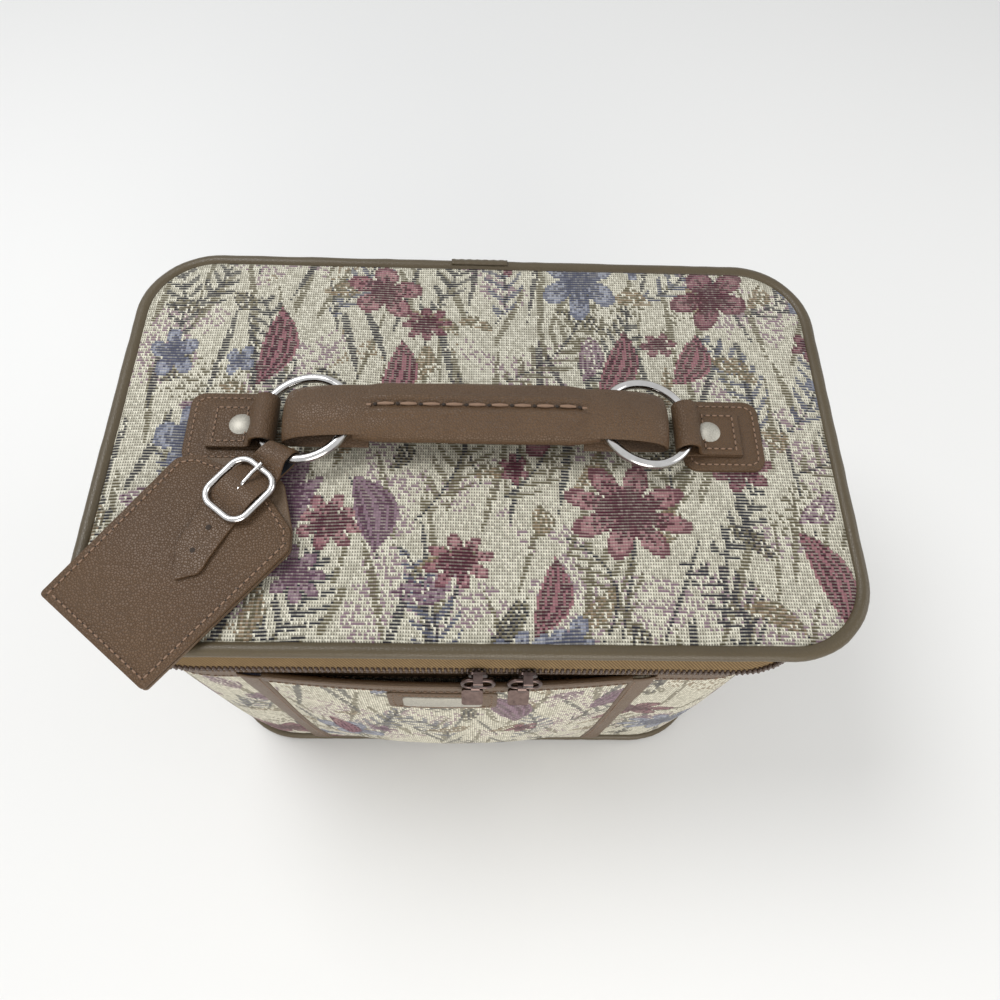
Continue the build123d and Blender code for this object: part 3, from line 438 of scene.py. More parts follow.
tape_cloth = ridged(
    "golden brown tape", (0.085, 0.052, 0.024, 1), (0.330, 0.225, 0.105, 1), (4200.0, 4200.0, 0.2), 0.0002,
    place=cloth_place,
)
lining_cloth = ridged(
    "navy lining", (0.010, 0.013, 0.028, 1), (0.030, 0.037, 0.070, 1), (6000.0, 6000.0, 0.8), 0.0001, 0.7
)
elastic_cloth = ridged(
    "ribbed elastic", (0.010, 0.010, 0.012, 1), (0.045, 0.045, 0.052, 1), (100.0, 3600.0, 0.1), 0.0003, 0.75
)
board_card = ridged(
    "fibre board", (0.20, 0.14, 0.09, 1), (0.32, 0.24, 0.16, 1), (900.0, 700.0, 0.5), 0.0001, 0.9
)
print("cloths:", tape_cloth.name, lining_cloth.name, elastic_cloth.name)

# %% [markdown]
# Metal shows its finish mostly through small differences in roughness. Plated rings are bright with
# faint smears, the rivet caps are speckled nickel, and the zip pulls are a dark, slightly pink plate.
# Mirror, card, coil, thread and the dark beads of painted shade in the needle holes are made in the same way,
# with other numbers.


# %% Metals, mirror, thread and card
def metal(name, dark, light, rough, scale, depth=0.00002, metallic=1.0):
    material, tree, shader = new_material(name, Metallic=metallic)
    smear = noise_at(object_place(tree), scale, 5.0)
    fill(shader.inputs["Base Color"], blend_colour(tree, smear, (*dark, 1), (*light, 1)))
    fill(shader.inputs["Roughness"], map_range(smear, 0.3, 0.7, *rough))
    set_bump(shader, smear, 0.25, depth)
    return material


bright_plate = metal("bright plated steel", (0.40, 0.39, 0.38), (0.66, 0.65, 0.64), (0.08, 0.24), 180.0)
satin_nickel = metal(
    "speckled satin nickel", (0.15, 0.138, 0.118), (0.66, 0.635, 0.56), (0.50, 0.70), 1800.0, 0.00006
)
gunmetal = metal("dark gunmetal plate", (0.062, 0.043, 0.039), (0.150, 0.110, 0.100), (0.26, 0.42), 500.0)
mirror_glass = metal("silvered glass", (0.86, 0.88, 0.88), (0.90, 0.91, 0.91), (0.02, 0.04), 20.0, 0.0)
card_paper = metal("plain card", (0.76, 0.73, 0.66), (0.84, 0.82, 0.76), (0.75, 0.85), 400.0, 0.00003, 0.0)
coil_plastic = metal(
    "dark coil", (0.035, 0.020, 0.014), (0.100, 0.060, 0.040), (0.24, 0.38), 900.0, 0.00002, 0.0
)
thread_twist = metal(
    "tan thread", (0.140, 0.080, 0.048), (0.290, 0.185, 0.120), (0.55, 0.7), 2500.0, 0.00008, 0.0
)
# Painted shade: a dark material for the beads in needle holes and strap holes.
hole_shadow = metal("painted needle hole shade", (0.018, 0.011, 0.007), (0.030, 0.019, 0.012), (0.8, 0.9), 900.0, 0.0, 0.0)
print("metals:", bright_plate.name, satin_nickel.name, gunmetal.name)

# %% [markdown]
# Shapes start from Blender's own bmesh operators. A rounded outline is a square face with its four
# corner points bevelled, a wall is that outline's edge extruded upwards, and a patch of cloth is a
# grid laid over a surface. Each piece says which body it rides on and which CAD nodes it replaces.


# %% Shape helpers
def mm(x, y, z):
    """A vector given in millimetres."""
    return Vector((x, y, z)) * MM


def new_object(name, data):
    made = bpy.data.objects.new(name, data)
    bpy.context.collection.objects.link(made)
    return made


def add_piece(name, bm, body, material, replaces=(), crease=40, thick=None, offset=-1.0, soft=0.0):
    """Makes a piece from bm; thick and soft are the sheet's thickness and rounding in millimetres."""
    bm.normal_update()
    mesh = bpy.data.meshes.new(name)
    bm.to_mesh(mesh)
    bm.free()
    mesh.materials.append(material)
    mesh.shade_smooth()
    mesh.set_sharp_from_angle(angle=radians(crease))
    piece = new_object(name, mesh)
    if body:
        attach(piece, body)
    if replaces:
        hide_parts(*replaces)
    if thick:
        wall = piece.modifiers.new("thickness", "SOLIDIFY")
        wall.thickness = thick * MM
        wall.offset = offset
    if soft:
        edge = piece.modifiers.new("soft edge", "BEVEL")
        edge.width = soft * MM
        edge.segments = 2
        edge.limit_method = "ANGLE"
    print(f"{name}: {len(mesh.polygons)} faces")
    return piece


def round_corners(bm, corner, segments):
    bmesh.ops.bevel(
        bm, geom=bm.verts[:], offset=corner * MM, segments=segments, profile=0.5,
        affect="VERTICES", material=-1,
    )


def rounded_face(width, depth, corner, cuts=1, segments=8):
    """A flat face with rounded corners; its long edges are cut into shorter ones."""
    bm = bmesh.new()
    bmesh.ops.create_grid(bm, x_segments=1, y_segments=1, size=0.5)
    bmesh.ops.scale(bm, vec=(width * MM, depth * MM, 1), verts=bm.verts)
    round_corners(bm, corner, segments)
    if cuts > 1:
        longest_round = 2.5 * corner * MM / segments
        long_edges = [edge for edge in bm.edges if edge.calc_length() > longest_round]
        bmesh.ops.subdivide_edges(bm, edges=long_edges, cuts=cuts)
    return bm


def outline_points(width, depth, corner, x, y, z, cuts=12, segments=8):
    """The same outline as an ordered list of points, in metres."""
    bm = rounded_face(width, depth, corner, cuts, segments)
    bm.faces.ensure_lookup_table()
    points = [loop.vert.co + mm(x, y, z) for loop in bm.faces[0].loops]
    bm.free()
    return points


def wall(levels, corner, cuts, segments):
    """A wall through levels of (z, width, depth, x, y), all in millimetres."""
    z, width, depth, x, y = levels[0]
    bm = rounded_face(width, depth, corner, cuts, segments)
    bmesh.ops.delete(bm, geom=bm.faces[:], context="FACES_ONLY")
    bmesh.ops.translate(bm, vec=mm(x, y, z), verts=bm.verts)
    rim = bm.edges[:]
    for next_z, next_width, next_depth, next_x, next_y in levels[1:]:
        made = bmesh.ops.extrude_edge_only(bm, edges=rim)["geom"]
        fresh = {item for item in made if isinstance(item, bmesh.types.BMVert)}
        rim = [e for e in bm.edges if e.verts[0] in fresh and e.verts[1] in fresh]
        bmesh.ops.scale(
            bm, vec=(next_width / width, next_depth / depth, 1),
            space=Matrix.Translation(mm(-x, -y, 0)), verts=list(fresh),
        )
        bmesh.ops.translate(bm, vec=mm(next_x - x, next_y - y, next_z - z), verts=list(fresh))
        z, width, depth, x, y = next_z, next_width, next_depth, next_x, next_y
    face_outwards(bm, mm(x, y, 0))
    return bm


def face_outwards(bm, centre):
    """Turns every face away from an upright line through centre."""
    bmesh.ops.recalc_face_normals(bm, faces=bm.faces)
    total = sum((f.calc_center_median() - centre).xy.dot(f.normal.xy) for f in bm.faces)
    if total < 0:
        bmesh.ops.reverse_faces(bm, faces=bm.faces)


def slab(bm, thickness, soften, segments=3):
    """Gives a flat face a thickness and soft upper edges."""
    made = bmesh.ops.extrude_face_region(bm, geom=bm.faces[:])["geom"]
    top = [item for item in made if isinstance(item, bmesh.types.BMVert)]
    bmesh.ops.translate(bm, vec=(0, 0, thickness * MM), verts=top)
    rim = [edge for edge in bm.edges if all(v in top for v in edge.verts)]
    bmesh.ops.bevel(
        bm, geom=rim, offset=soften * MM, segments=segments, profile=0.5, affect="EDGES", material=-1
    )
    return bm


def cloth_patch(across, along, place):
    """A grid laid on a surface: place(s, t) gives a point in millimetres for s, t from 0 to 1."""
    bm = bmesh.new()
    bmesh.ops.create_grid(bm, x_segments=across, y_segments=along, size=0.5)
    for vert in bm.verts:
        vert.co = Vector(place(vert.co.x + 0.5, vert.co.y + 0.5)) * MM
    return bm


def smooth_between(values, t):
    """Catmull-Rom: a smooth line through a list of equal-length tuples, t from 0 to 1."""
    last = len(values) - 1
    at = min(t * last, last - 1e-6)
    i = int(at)
    u = at - i
    p0, p1, p2, p3 = values[max(i - 1, 0)], values[i], values[i + 1], values[min(i + 2, last)]
    return [
        b + 0.5 * u * (c - a + u * (2 * a - 5 * b + 4 * c - d + u * (3 * (b - c) + d - a)))
        for a, b, c, d in zip(p0, p1, p2, p3)
    ]


def ruffle(bm, amount, size, stretch=(1.0, 1.0, 1.0)):
    """Moves points in and out by a slow, fixed noise, as cloth and vinyl never lie quite flat."""
    bm.normal_update()
    for vert in bm.verts:
        spot = Vector([vert.co[i] * stretch[i] / (size * MM) for i in range(3)])
        vert.co += vert.normal * noise.noise(spot) * amount * MM


def lay_uv(bm, across_up):
    """Writes the cloth map in metres; across_up turns millimetres into (across, up)."""
    layer = bm.loops.layers.uv.new("cloth")
    for face in bm.faces:
        for loop in face.loops:
            loop[layer].uv = Vector(across_up(*(loop.vert.co / MM))) * MM


print("shape helpers ready")

# %% [markdown]
# Stitches are what makes sewn work look sewn. Each one is a small grain of thread, stretched along
# the seam, with a dark flat bead of painted shade for the needle hole at its end. They are gathered
# in one mesh for each body.


# %% Sewing helpers
thread_work = {}
hole_shade_work = {}


def grain(name, u, v):
    """A small rounded bead, one unit in radius, to be stamped many times."""
    bm = bmesh.new()
    bmesh.ops.create_uvsphere(bm, u_segments=u, v_segments=v, radius=1)
    mesh = bpy.data.meshes.new(name)
    bm.to_mesh(mesh)
    bm.free()
    return mesh


def stamp(bm, mesh, matrix):
    """Adds a copy of mesh to bm, placed by matrix."""
    mesh.transform(matrix)
    bm.from_mesh(mesh)
    mesh.transform(matrix.inverted())


thread_grain = grain("thread_grain", 6, 5)
hole_shade_grain = grain("hole_shade_grain", 6, 4)
coil_grain = grain("coil_grain", 8, 5)


def walk(points, pitch, closed=False):
    """Evenly spaced places and directions along a broken line; the pitch is in millimetres."""
    line = points + points[:1] if closed else points
    lengths = [(b - a).length for a, b in zip(line, line[1:])]
    total = sum(lengths)
    count = max(1, round(total / (pitch * MM)))
    step = total / count
    places = []
    target = step / 2
    run = 0.0
    for a, b, length in zip(line, line[1:], lengths):
        while target <= run + length + 1e-9 and len(places) < count:
            places.append((a.lerp(b, (target - run) / length), (b - a).normalized()))
            target += step
        run += length
    return places


def sew(body, points, pitch=3.4, length=2.4, thick=0.55, up=Vector((0, 0, 1)), closed=False):
    """A row of stitches along points; up is a direction, or a function from a point to one."""
    if body not in thread_work:
        thread_work[body] = bmesh.new()
        hole_shade_work[body] = bmesh.new()
    places = walk(points, pitch, closed)
    for place, direction in places:
        out = up(place) if callable(up) else up
        side = out.cross(direction).normalized()
        out = direction.cross(side)
        turn = Matrix((direction, side, out)).transposed().to_4x4()
        size = Matrix.Diagonal((length * MM / 2, thick * MM / 2, thick * MM * 0.42, 1))
        stamp(thread_work[body], thread_grain, Matrix.Translation(place) @ turn @ size)
        # Painted shade: a dark flat bead sits in the needle hole at each stitch's end.
        spot = place + direction * pitch * MM / 2 - out * 0.0001
        flat = Matrix.Diagonal((thick * MM * 0.48, thick * MM * 0.42, thick * MM * 0.22, 1))
        stamp(hole_shade_work[body], hole_shade_grain, Matrix.Translation(spot) @ turn @ flat)
    return len(places)


print("sewing helpers ready")

# %% [markdown]
# The body is a stiff board wrapped in tapestry. The cloth bellies out by a millimetre or so and
# ripples a little. Its map runs round the case, measured along the outline from the middle of the
# front, so the flowers go round the corners as they do on the real one.

# %% Body wall
BODY_W, BODY_D, BODY_R = 305.0, 196.0, 44.0
STRAIGHT_X, STRAIGHT_Y = BODY_W / 2 - BODY_R, BODY_D / 2 - BODY_R
HALF_RUN = 2 * STRAIGHT_X + 2 * STRAIGHT_Y + pi * BODY_R


def round_the_case(x, y):
    """The distance round the case from the middle of the front, less than zero on the left."""
    if abs(x) > STRAIGHT_X and abs(y) <= STRAIGHT_Y:
        run = STRAIGHT_X + BODY_R * pi / 2 + y + STRAIGHT_Y
    else:
        run = abs(x)
        if run > STRAIGHT_X:
            run = STRAIGHT_X + BODY_R * atan2(run - STRAIGHT_X, abs(y) - STRAIGHT_Y)
        if y >= 0:
            run = HALF_RUN - run
    return run if x >= 0 else -run


def wall_uv(bm):
    """Writes the cloth map round the wall; a face across the back's middle isn't torn by it."""
    layer = bm.loops.layers.uv.new("cloth")
    for face in bm.faces:
        runs = [round_the_case(loop.vert.co.x / MM, loop.vert.co.y / MM) for loop in face.loops]
        for loop, run in zip(face.loops, runs):
            across = run + 2 * HALF_RUN if max(runs) - run > HALF_RUN else run
            loop[layer].uv = (across * MM, loop.vert.co.z)


body_levels = [
    (5.5, 305.0, 196.0, 0, 0), (14, 306.4, 197.2, 0, 0), (34, 307.2, 198.0, 0, 0), (60, 307.8, 198.6, 0, 0),
    (88, 308.0, 198.8, 0, 0), (116, 307.8, 198.6, 0, 0), (144, 307.2, 198.2, 0, 0), (166, 306.4, 197.6, 0, 0),
    (182, 305.8, 196.8, 0, 0), (190, 305.4, 196.4, 0, 0),
]
bm = wall(body_levels, BODY_R, 30, 12)
ruffle(bm, 0.7, 46, (1, 1, 0.45))
wall_uv(bm)
add_piece("body_wall", bm, "body", tapestry, ["body_cover"], thick=1.2)

# %% [markdown]
# A wide vinyl binding closes the top of the wall. Above it the zip's lower tape leans outwards to
# the teeth, and the upper tape leans back in under the lid. At the back a vinyl strip takes the
# place of the zip and works as the hinge.

# %% Top binding, zip tapes and hinge strip
ZIP = (316.0, 203.0, 42.0, 2.5, 0.25)
ZIP_Z, ZIP_END = 204.0, 66.0
FLARE_Z, TAPE_TOP, CORNER_PUSH = 207.0, 216.6, 4.8
binding_levels = [
    (179.6, 306.2, 197.2, 0, 0), (180.2, 307.4, 198.4, 0, 0), (186, 307.6, 198.6, 0, 0),
    (190.6, 307.6, 198.6, 0, 0), (191.4, 306.2, 197.2, 0, 0),
]
bm = wall(binding_levels, BODY_R, 24, 12)
ruffle(bm, 0.25, 22)
add_piece("top_binding", bm, "body", binding_vinyl, ["body_top_binding"], thick=0.7)
top_stitch = outline_points(308.0, 199.0, BODY_R, 0, 0, 183.0)
stitches = sew("body", top_stitch, up=lambda p: Vector((p.x * 0.4, p.y, 0)).normalized(), closed=True)
print("stitches round the top:", stitches)


def tape_wall(levels, keep_front):
    """The front or the back part of a wall, pressed outwards at the corners under the lid."""
    bm = wall(levels, BODY_R, 24, 12)
    bmesh.ops.bisect_plane(
        bm, geom=bm.verts[:] + bm.edges[:] + bm.faces[:], plane_co=(0, ZIP_END * MM, 0), plane_no=(0, 1, 0),
        clear_outer=keep_front, clear_inner=not keep_front,
    )
    for vert in bm.verts:
        x, y, z = vert.co / MM
        rise = min(1.0, max(0.0, (z - FLARE_Z) / (TAPE_TOP - FLARE_Z)))
        corner = max(0.0, abs(x - 4.0) - 118.0) * max(0.0, abs(y - 3.5) - 57.0) / BODY_R ** 2
        push = CORNER_PUSH * rise * rise * corner * MM
        vert.co += Vector((copysign(push, x), copysign(push, y), 0))
    wall_uv(bm)
    return bm


lower = tape_wall([
    (189, 305.4, 196.6, 0, 0), (192.5, 306.0, 197.0, 0.1, 0), (196, 309.6, 199.2, 1.0, 0.1),
    (199.5, 313.4, 201.4, 1.9, 0.2), (201.4, 314.6, 201.6, 2.4, 0.25), (203.7, 315.0, 201.9, 2.5, 0.25),
], True)
add_piece("lower_tape", lower, "body", tape_cloth, ["zip_lower_tape"], thick=0.7)
upper = tape_wall([
    (204.3, 315.0, 201.9, 2.5, 0.25), (206.6, 314.8, 201.7, 2.5, 0.3), (209.5, 319.0, 201.2, 3.2, 1.6),
    (213, 325.4, 201.4, 4.2, 3.4), (TAPE_TOP, 331.6, 201.6, 5, 5),
], True)
add_piece("upper_tape", upper, "lid", tape_cloth, ["zip_upper_tape"], thick=0.7)
strip = tape_wall([
    (189, 305.8, 196.8, 0, 0), (196, 310.6, 198.2, 1.0, 0.9), (203, 317.4, 199.6, 2.4, 2.1),
    (210, 325.2, 200.8, 3.9, 3.7), (TAPE_TOP, 331.6, 201.6, 5, 5),
], False)
hinge = add_piece("back_hinge_strip", strip, None, binding_vinyl, ["hinge_strip"], thick=0.9)
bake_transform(hinge)

# %% [markdown]
# The zip is a coil zip: each row is a plastic spiral, and every turn of it shows as a small slanted
# bead. The rows meet at the zip line, and each goes with its own tape, so the upper one lifts with
# the lid.


# %% Coil rows
def coil_row(name, body, replaced, z, lean):
    bm = bmesh.new()
    line = outline_points(*ZIP, ZIP_Z, cuts=20)
    for place, direction in walk(line, 2.35, True):
        if place.y > ZIP_END * MM:
            continue
        out = Vector((0, 0, 1)).cross(direction).normalized()
        if out.dot(Vector((place.x, place.y, 0))) < 0:
            out = -out
        slant = (Vector((0, 0, 1)) + direction * lean).normalized()
        side = slant.cross(out).normalized()
        turn = Matrix((side, out, slant)).transposed().to_4x4()
        at = Vector((place.x, place.y, z * MM)) - out * 0.0004
        size = Matrix.Diagonal((0.00078, 0.00135, 0.00128, 1))
        stamp(bm, coil_grain, Matrix.Translation(at) @ turn @ size)
    add_piece(name, bm, body, coil_plastic, [replaced])


coil_row("lower_coil", "body", "zip_lower_teeth", ZIP_Z - 1.35, 0.25)
coil_row("upper_coil", "lid", "zip_upper_teeth", ZIP_Z + 1.35, -0.25)

# %% [markdown]
# The pocket is a second panel of the same cloth. It stands off the wall like a pillow, so it is a
# grid whose points follow the bulge: deep in the middle and shallow at the sides.

# %% Front pocket
POCKET_X, POCKET_HALF, WALL_FRONT = -6.0, 92.0, -98.0
BEHIND_POCKET = mm(POCKET_X, WALL_FRONT + 60, 0)
POCKET_LOW, POCKET_HIGH = 9.0, 190.0
BULGES = [(2.4,), (12.5,), (15.0,), (11.5,), (6.8,)]


def bulge_at(z):
    """How far the pocket stands out in its middle, from the foot to the mouth."""
    height = min(max(z, POCKET_LOW), POCKET_HIGH) - POCKET_LOW
    return smooth_between(BULGES, height / (POCKET_HIGH - POCKET_LOW))[0]


def pocket_y(x, z, out=0.0):
    part = min(1.0, abs(x - POCKET_X) / POCKET_HALF)
    return WALL_FRONT - 1.6 - (bulge_at(z) - 1.6) * (1 - part * part) - out


def pocket_out(point):
    """The way out of the pocket's skin at a point, in metres."""
    x, z = point.x / MM, point.z / MM
    step = 2.0
    slope_x = (pocket_y(x + step, z) - pocket_y(x - step, z)) / (2 * step)
    slope_z = (pocket_y(x, z + step) - pocket_y(x, z - step)) / (2 * step)
    return Vector((slope_x, -1.0, slope_z)).normalized()


def panel_place(s, t):
    x = POCKET_X + (2 * s - 1) * (POCKET_HALF - 2.0)
    z = 10.0 + t * 179.0
    soft = 0.5 * noise.noise(Vector((x / 30, 3.1, z / 38))) * sin(pi * s)
    return x, pocket_y(x, z, 0.25 + soft), z


bm = cloth_patch(48, 44, panel_place)
face_outwards(bm, BEHIND_POCKET)
lay_uv(bm, lambda x, y, z: (x, z))
add_piece("pocket_panel_cloth", bm, "body", tapestry, ["pocket_panel"], thick=1.3)


# %% Pocket bindings and mouth
def side_binding(name, side, replaced):
    def place(s, t):
        z = POCKET_LOW + t * (POCKET_HIGH - POCKET_LOW)
        turn = min(s / 0.22, 1.0)
        inwards = max(0.0, (s - 0.22) / 0.78)
        x = POCKET_X + side * (POCKET_HALF + 0.9 - 0.9 * (1 - cos(turn * pi / 2)) - 11.2 * inwards)
        plump = 0.35 * sin(pi * min(inwards * 1.02, 1.0)) - 0.5 * max(0, inwards - 0.93) / 0.07
        front = pocket_y(x, z, 0.75 + plump)
        y = WALL_FRONT + (front - WALL_FRONT) * sin(turn * pi / 2)
        return x, y, z

    bm = cloth_patch(14, 48, place)
    face_outwards(bm, BEHIND_POCKET)
    ruffle(bm, 0.18, 14)
    add_piece(name, bm, "body", binding_vinyl, [replaced], thick=0.7)
    seam_x = POCKET_X + side * (POCKET_HALF - 8.8)
    seam = [mm(seam_x, pocket_y(seam_x, z, 1.05), z) for z in range(10, 190, 4)]
    return sew("body", seam, up=pocket_out)


def mouth_place(s, t):
    x = POCKET_X + (2 * s - 1) * (POCKET_HALF - 10.6)
    wrap = max(0.0, (t - 0.8) / 0.2)
    z = 182.0 + 8.2 * min(t / 0.8, 1.0) + 0.5 * sin(wrap * pi)
    return x, pocket_y(x, z, 0.95 - 2.6 * wrap - 0.6 * max(0, 0.1 - t) * 10), z


stitches = side_binding("pocket_left_binding", -1, "pocket_binding_left")
stitches += side_binding("pocket_right_binding", 1, "pocket_binding_right")
bm = cloth_patch(48, 12, mouth_place)
face_outwards(bm, BEHIND_POCKET)
add_piece("pocket_mouth", bm, "body", binding_vinyl, ["pocket_mouth_binding"], thick=0.6)
seam = [mm(x, pocket_y(x, 184.4, 1.15), 184.4) for x in range(-86, 75, 4)]
stitches += sew("body", seam, up=pocket_out)
print("pocket stitches:", stitches)

# %% [markdown]
# A vinyl patch with a plain metal plate sits at the top of the pocket. The plate is left bare. It is
# stitched on through a raised rim, and both follow the curve of the pocket.

# %% Nameplate patch
PATCH_X, PATCH_Z = -9.0, 171.0


def curved_plate(width, height, corner, out, thickness, soften):
    """A rounded plate laid on the pocket's curve."""
    bm = slab(rounded_face(width, height, corner, 12, 5), thickness, soften, 2)
    bmesh.ops.triangulate(bm, faces=[f for f in bm.faces if len(f.verts) > 4])
    for vert in bm.verts:
        x, up, height_out = vert.co / MM
        x += PATCH_X
        z = up + PATCH_Z
        vert.co = mm(x, pocket_y(x, z, out + height_out), z)
    bmesh.ops.recalc_face_normals(bm, faces=bm.faces)
    return bm


patch = curved_plate(50, 21, 3, 0.2, 1.2, 0.4)
add_piece("nameplate_patch", patch, "body", binding_vinyl, ["pocket_patch"])
plate = curved_plate(36, 12, 2.2, 1.35, 0.8, 0.3)
add_piece("nameplate", plate, "body", satin_nickel, ["pocket_plate"])
patch_seam = [
    Vector((p.x, pocket_y(p.x / MM, p.y / MM, 1.5) * MM, p.y))
    for p in outline_points(45.0, 16.4, 2.5, PATCH_X, PATCH_Z, 0, 6, 4)
]
print("patch stitches:", sew("body", patch_seam, 3.0, 2.0, 0.5, pocket_out, True))

# %% [markdown]
# Piping is a cord wrapped in vinyl. A curve with a round section follows the edge, is turned into a
# mesh, and is ruffled slightly, because the wrapping puckers at the corners.


# %% Piping
LID_X, LID_Y, LID_TOP = 5.0, 5.0, 221.0
CORD_Z, CORD_R, CORD_W, CORD_D = 219.0, 3.25, 333.5, 203.5


def piping(name, body, outline, radius, replaced):
    curve = bpy.data.curves.new(name, "CURVE")
    curve.dimensions = "3D"
    points = outline_points(*outline, cuts=40, segments=14)
    spline = curve.splines.new("POLY")
    spline.points.add(len(points) - 1)
    for spot, point in zip(spline.points, points):
        spot.co = (*point, 1)
    spline.use_cyclic_u = True
    curve.bevel_depth = radius * MM
    curve.bevel_resolution = 5
    carrier = bpy.data.objects.new(name, curve)
    mesh = bpy.data.meshes.new_from_object(carrier)
    bm = bmesh.new()
    bm.from_mesh(mesh)
    bmesh.ops.recalc_face_normals(bm, faces=bm.faces)
    ruffle(bm, 0.22, 9)
    bpy.data.objects.remove(carrier)
    bpy.data.curves.remove(curve)
    bpy.data.meshes.remove(mesh)
    add_piece(name, bm, body, piping_vinyl, [replaced])


piping("base_cord", "body", (BODY_W, BODY_D, BODY_R, 0, 0, 4.6), 3.2, "base_piping")
piping("lid_cord", "lid", (CORD_W, CORD_D, 34.75, LID_X, LID_Y, CORD_Z), CORD_R, "lid_piping")

# %% [markdown]
# A short sleeve covers the joint of the piping in the middle of the back edge. It is a strip of the
# same vinyl wrapped round the cord.

# %% Piping sleeve
def sleeve_place(s, t):
    turn = -0.62 * pi + 1.24 * pi * s
    radius = CORD_R + 0.75 + 0.12 * sin(14 * t * pi)
    y = LID_Y + CORD_D / 2 + radius * cos(turn)
    return LID_X + (t - 0.5) * 29.0, y, CORD_Z + radius * sin(turn)


bm = cloth_patch(16, 24, sleeve_place)
face_outwards(bm, mm(LID_X, 90, 0))
add_piece("cord_sleeve", bm, "lid", piping_vinyl, ["piping_sleeve"], thick=0.6)

# %% [markdown]
# The lid's top is tapestry over thin padding. A grid is drawn in to the rounded outline; its middle
# stands a little proud, its edge dives under the piping, and slow ripples show the padding beneath.

# %% Lid top
LID_HALF_W, LID_HALF_D, LID_R = 166.4, 101.4, 34.4


def lid_place(s, t):
    x, y = (2 * s - 1) * LID_HALF_W, (2 * t - 1) * LID_HALF_D
    ax, ay = abs(x) - (LID_HALF_W - LID_R), abs(y) - (LID_HALF_D - LID_R)
    edge = min(LID_HALF_W - abs(x), LID_HALF_D - abs(y))
    if ax > 0 and ay > 0:
        square = max(ax, ay)
        far = hypot(ax, ay)
        ax, ay = ax * square / far, ay * square / far
        x = (ax + LID_HALF_W - LID_R) * (1 if x > 0 else -1)
        y = (ay + LID_HALF_D - LID_R) * (1 if y > 0 else -1)
        edge = LID_R - square
    drop = 1.9 * max(0.0, 1 - edge / 5.0) ** 2
    off_patch = min(1.0, max(0.0, (abs(abs(x) - 114) - 20) / 12) + max(0.0, (abs(y) - 20) / 12))
    ripple = 0.55 * noise.noise(Vector((x / 42, y / 34, 7.7)))
    ripple += 0.2 * noise.noise(Vector((x / 14, y / 12, 2.2)))
    swell = (0.35 + ripple) * off_patch * min(1.0, edge / 12)
    return LID_X + x, LID_Y + y, LID_TOP + swell - drop


bm = cloth_patch(110, 70, lid_place)
bmesh.ops.recalc_face_normals(bm, faces=bm.faces)
if sum(face.normal.z for face in bm.faces) < 0:
    bmesh.ops.reverse_faces(bm, faces=bm.faces)
lay_uv(bm, lambda x, y, z: (x + 1200, y + 400))
lid_top = add_piece("lid_top", bm, "lid", tapestry, ["lid_cover"], thick=1.0)

# %% [markdown]
# Two patches carry the handle. Each is a rounded square of vinyl with a double row of stitches: one
# row holds the patch to the lid, and the other holds the strap that is folded round the ring.


# %% Tab patches
PATCH_MID = 113.75
TAB_STITCH = (3.1, 2.4, 0.85)


def tab_patch(name, side, replaced):
    middle = LID_X + side * PATCH_MID
    bm = slab(rounded_face(37.5, 37.0, 6.5, 1, 6), 1.75, 0.6)
    bmesh.ops.recalc_face_normals(bm, faces=bm.faces)
    bmesh.ops.translate(bm, vec=mm(middle, LID_Y, LID_TOP), verts=bm.verts)
    add_piece(name, bm, "lid", lid_vinyl, [replaced])
    outer = outline_points(31.5, 31.0, 4.5, middle, LID_Y, LID_TOP + 1.8, 4, 4)
    return sew("lid", outer, *TAB_STITCH, closed=True)


stitches = tab_patch("left_patch", -1, "tab_patch_left")
stitches += tab_patch("right_patch", 1, "tab_patch_right")
print("patch stitches:", stitches)

# %% [markdown]
# A strap is a ribbon: a straight line across, carried along a path. The same helper makes the tab
# straps and the handle's ends. The path is given by points seen from the side, and the ribbon is
# then given its thickness.


# %% Ribbon helper
def along_path(points, t):
    """The place at part t of a broken line, measured along it."""
    lengths = [hypot(b[0] - a[0], b[1] - a[1]) for a, b in zip(points, points[1:])]
    target = t * sum(lengths)
    for a, b, length in zip(points, points[1:], lengths):
        if target <= length or (a, b) == (points[-2], points[-1]):
            part = min(1.0, target / length)
            return a[0] + (b[0] - a[0]) * part, a[1] + (b[1] - a[1]) * part
        target -= length
    return points[-1]


def arc(radius, start, stop, steps):
    """Points of an arc about the path's own zero point, in degrees."""
    turns = [radians(start + (stop - start) * i / steps) for i in range(steps + 1)]
    return [(radius * cos(a), radius * sin(a)) for a in turns]


def ribbon(path, width, to_place, across, along=90):
    """to_place(x, y, z) puts a point of the ribbon in the model; y runs across it."""
    def place(s, t):
        x, z = along_path(path, t)
        return to_place(x, (s - 0.5) * width, z)

    bm = cloth_patch(across, along, place)
    bmesh.ops.recalc_face_normals(bm, faces=bm.faces)
    return bm


print("ribbon helper ready")

# %% Tab straps
EYE_X, EYE_R, PIVOT_Z = 95.6, 4.5, 228.7


def tab_strap(name, side, replaced):
    mid = EYE_R + 0.7
    end = 121.5 - EYE_X
    upper = -mid + 1.35
    path = [(end, upper), (8.2, upper), (6.2, upper + 1.3), (5.0, 0.6)]
    path += arc(mid, 12, 262, 26) + [(1.0, -mid), (end, -mid)]

    def place(x, y, z):
        return LID_X + side * (EYE_X + x), LID_Y + side * y, PIVOT_Z + z

    bm = ribbon(path, 23.5, place, 8)
    add_piece(name, bm, "lid", lid_vinyl, [replaced], 60, 1.3, 0.0, 0.35)
    near, far = EYE_X + 9.0, 118.6
    box = [(near, -8.8), (far, -8.8), (far, 8.8), (near, 8.8)]
    seam = [mm(LID_X + side * x, LID_Y + y, PIVOT_Z + upper + 0.8) for x, y in box]
    return sew("lid", seam, *TAB_STITCH, closed=True)


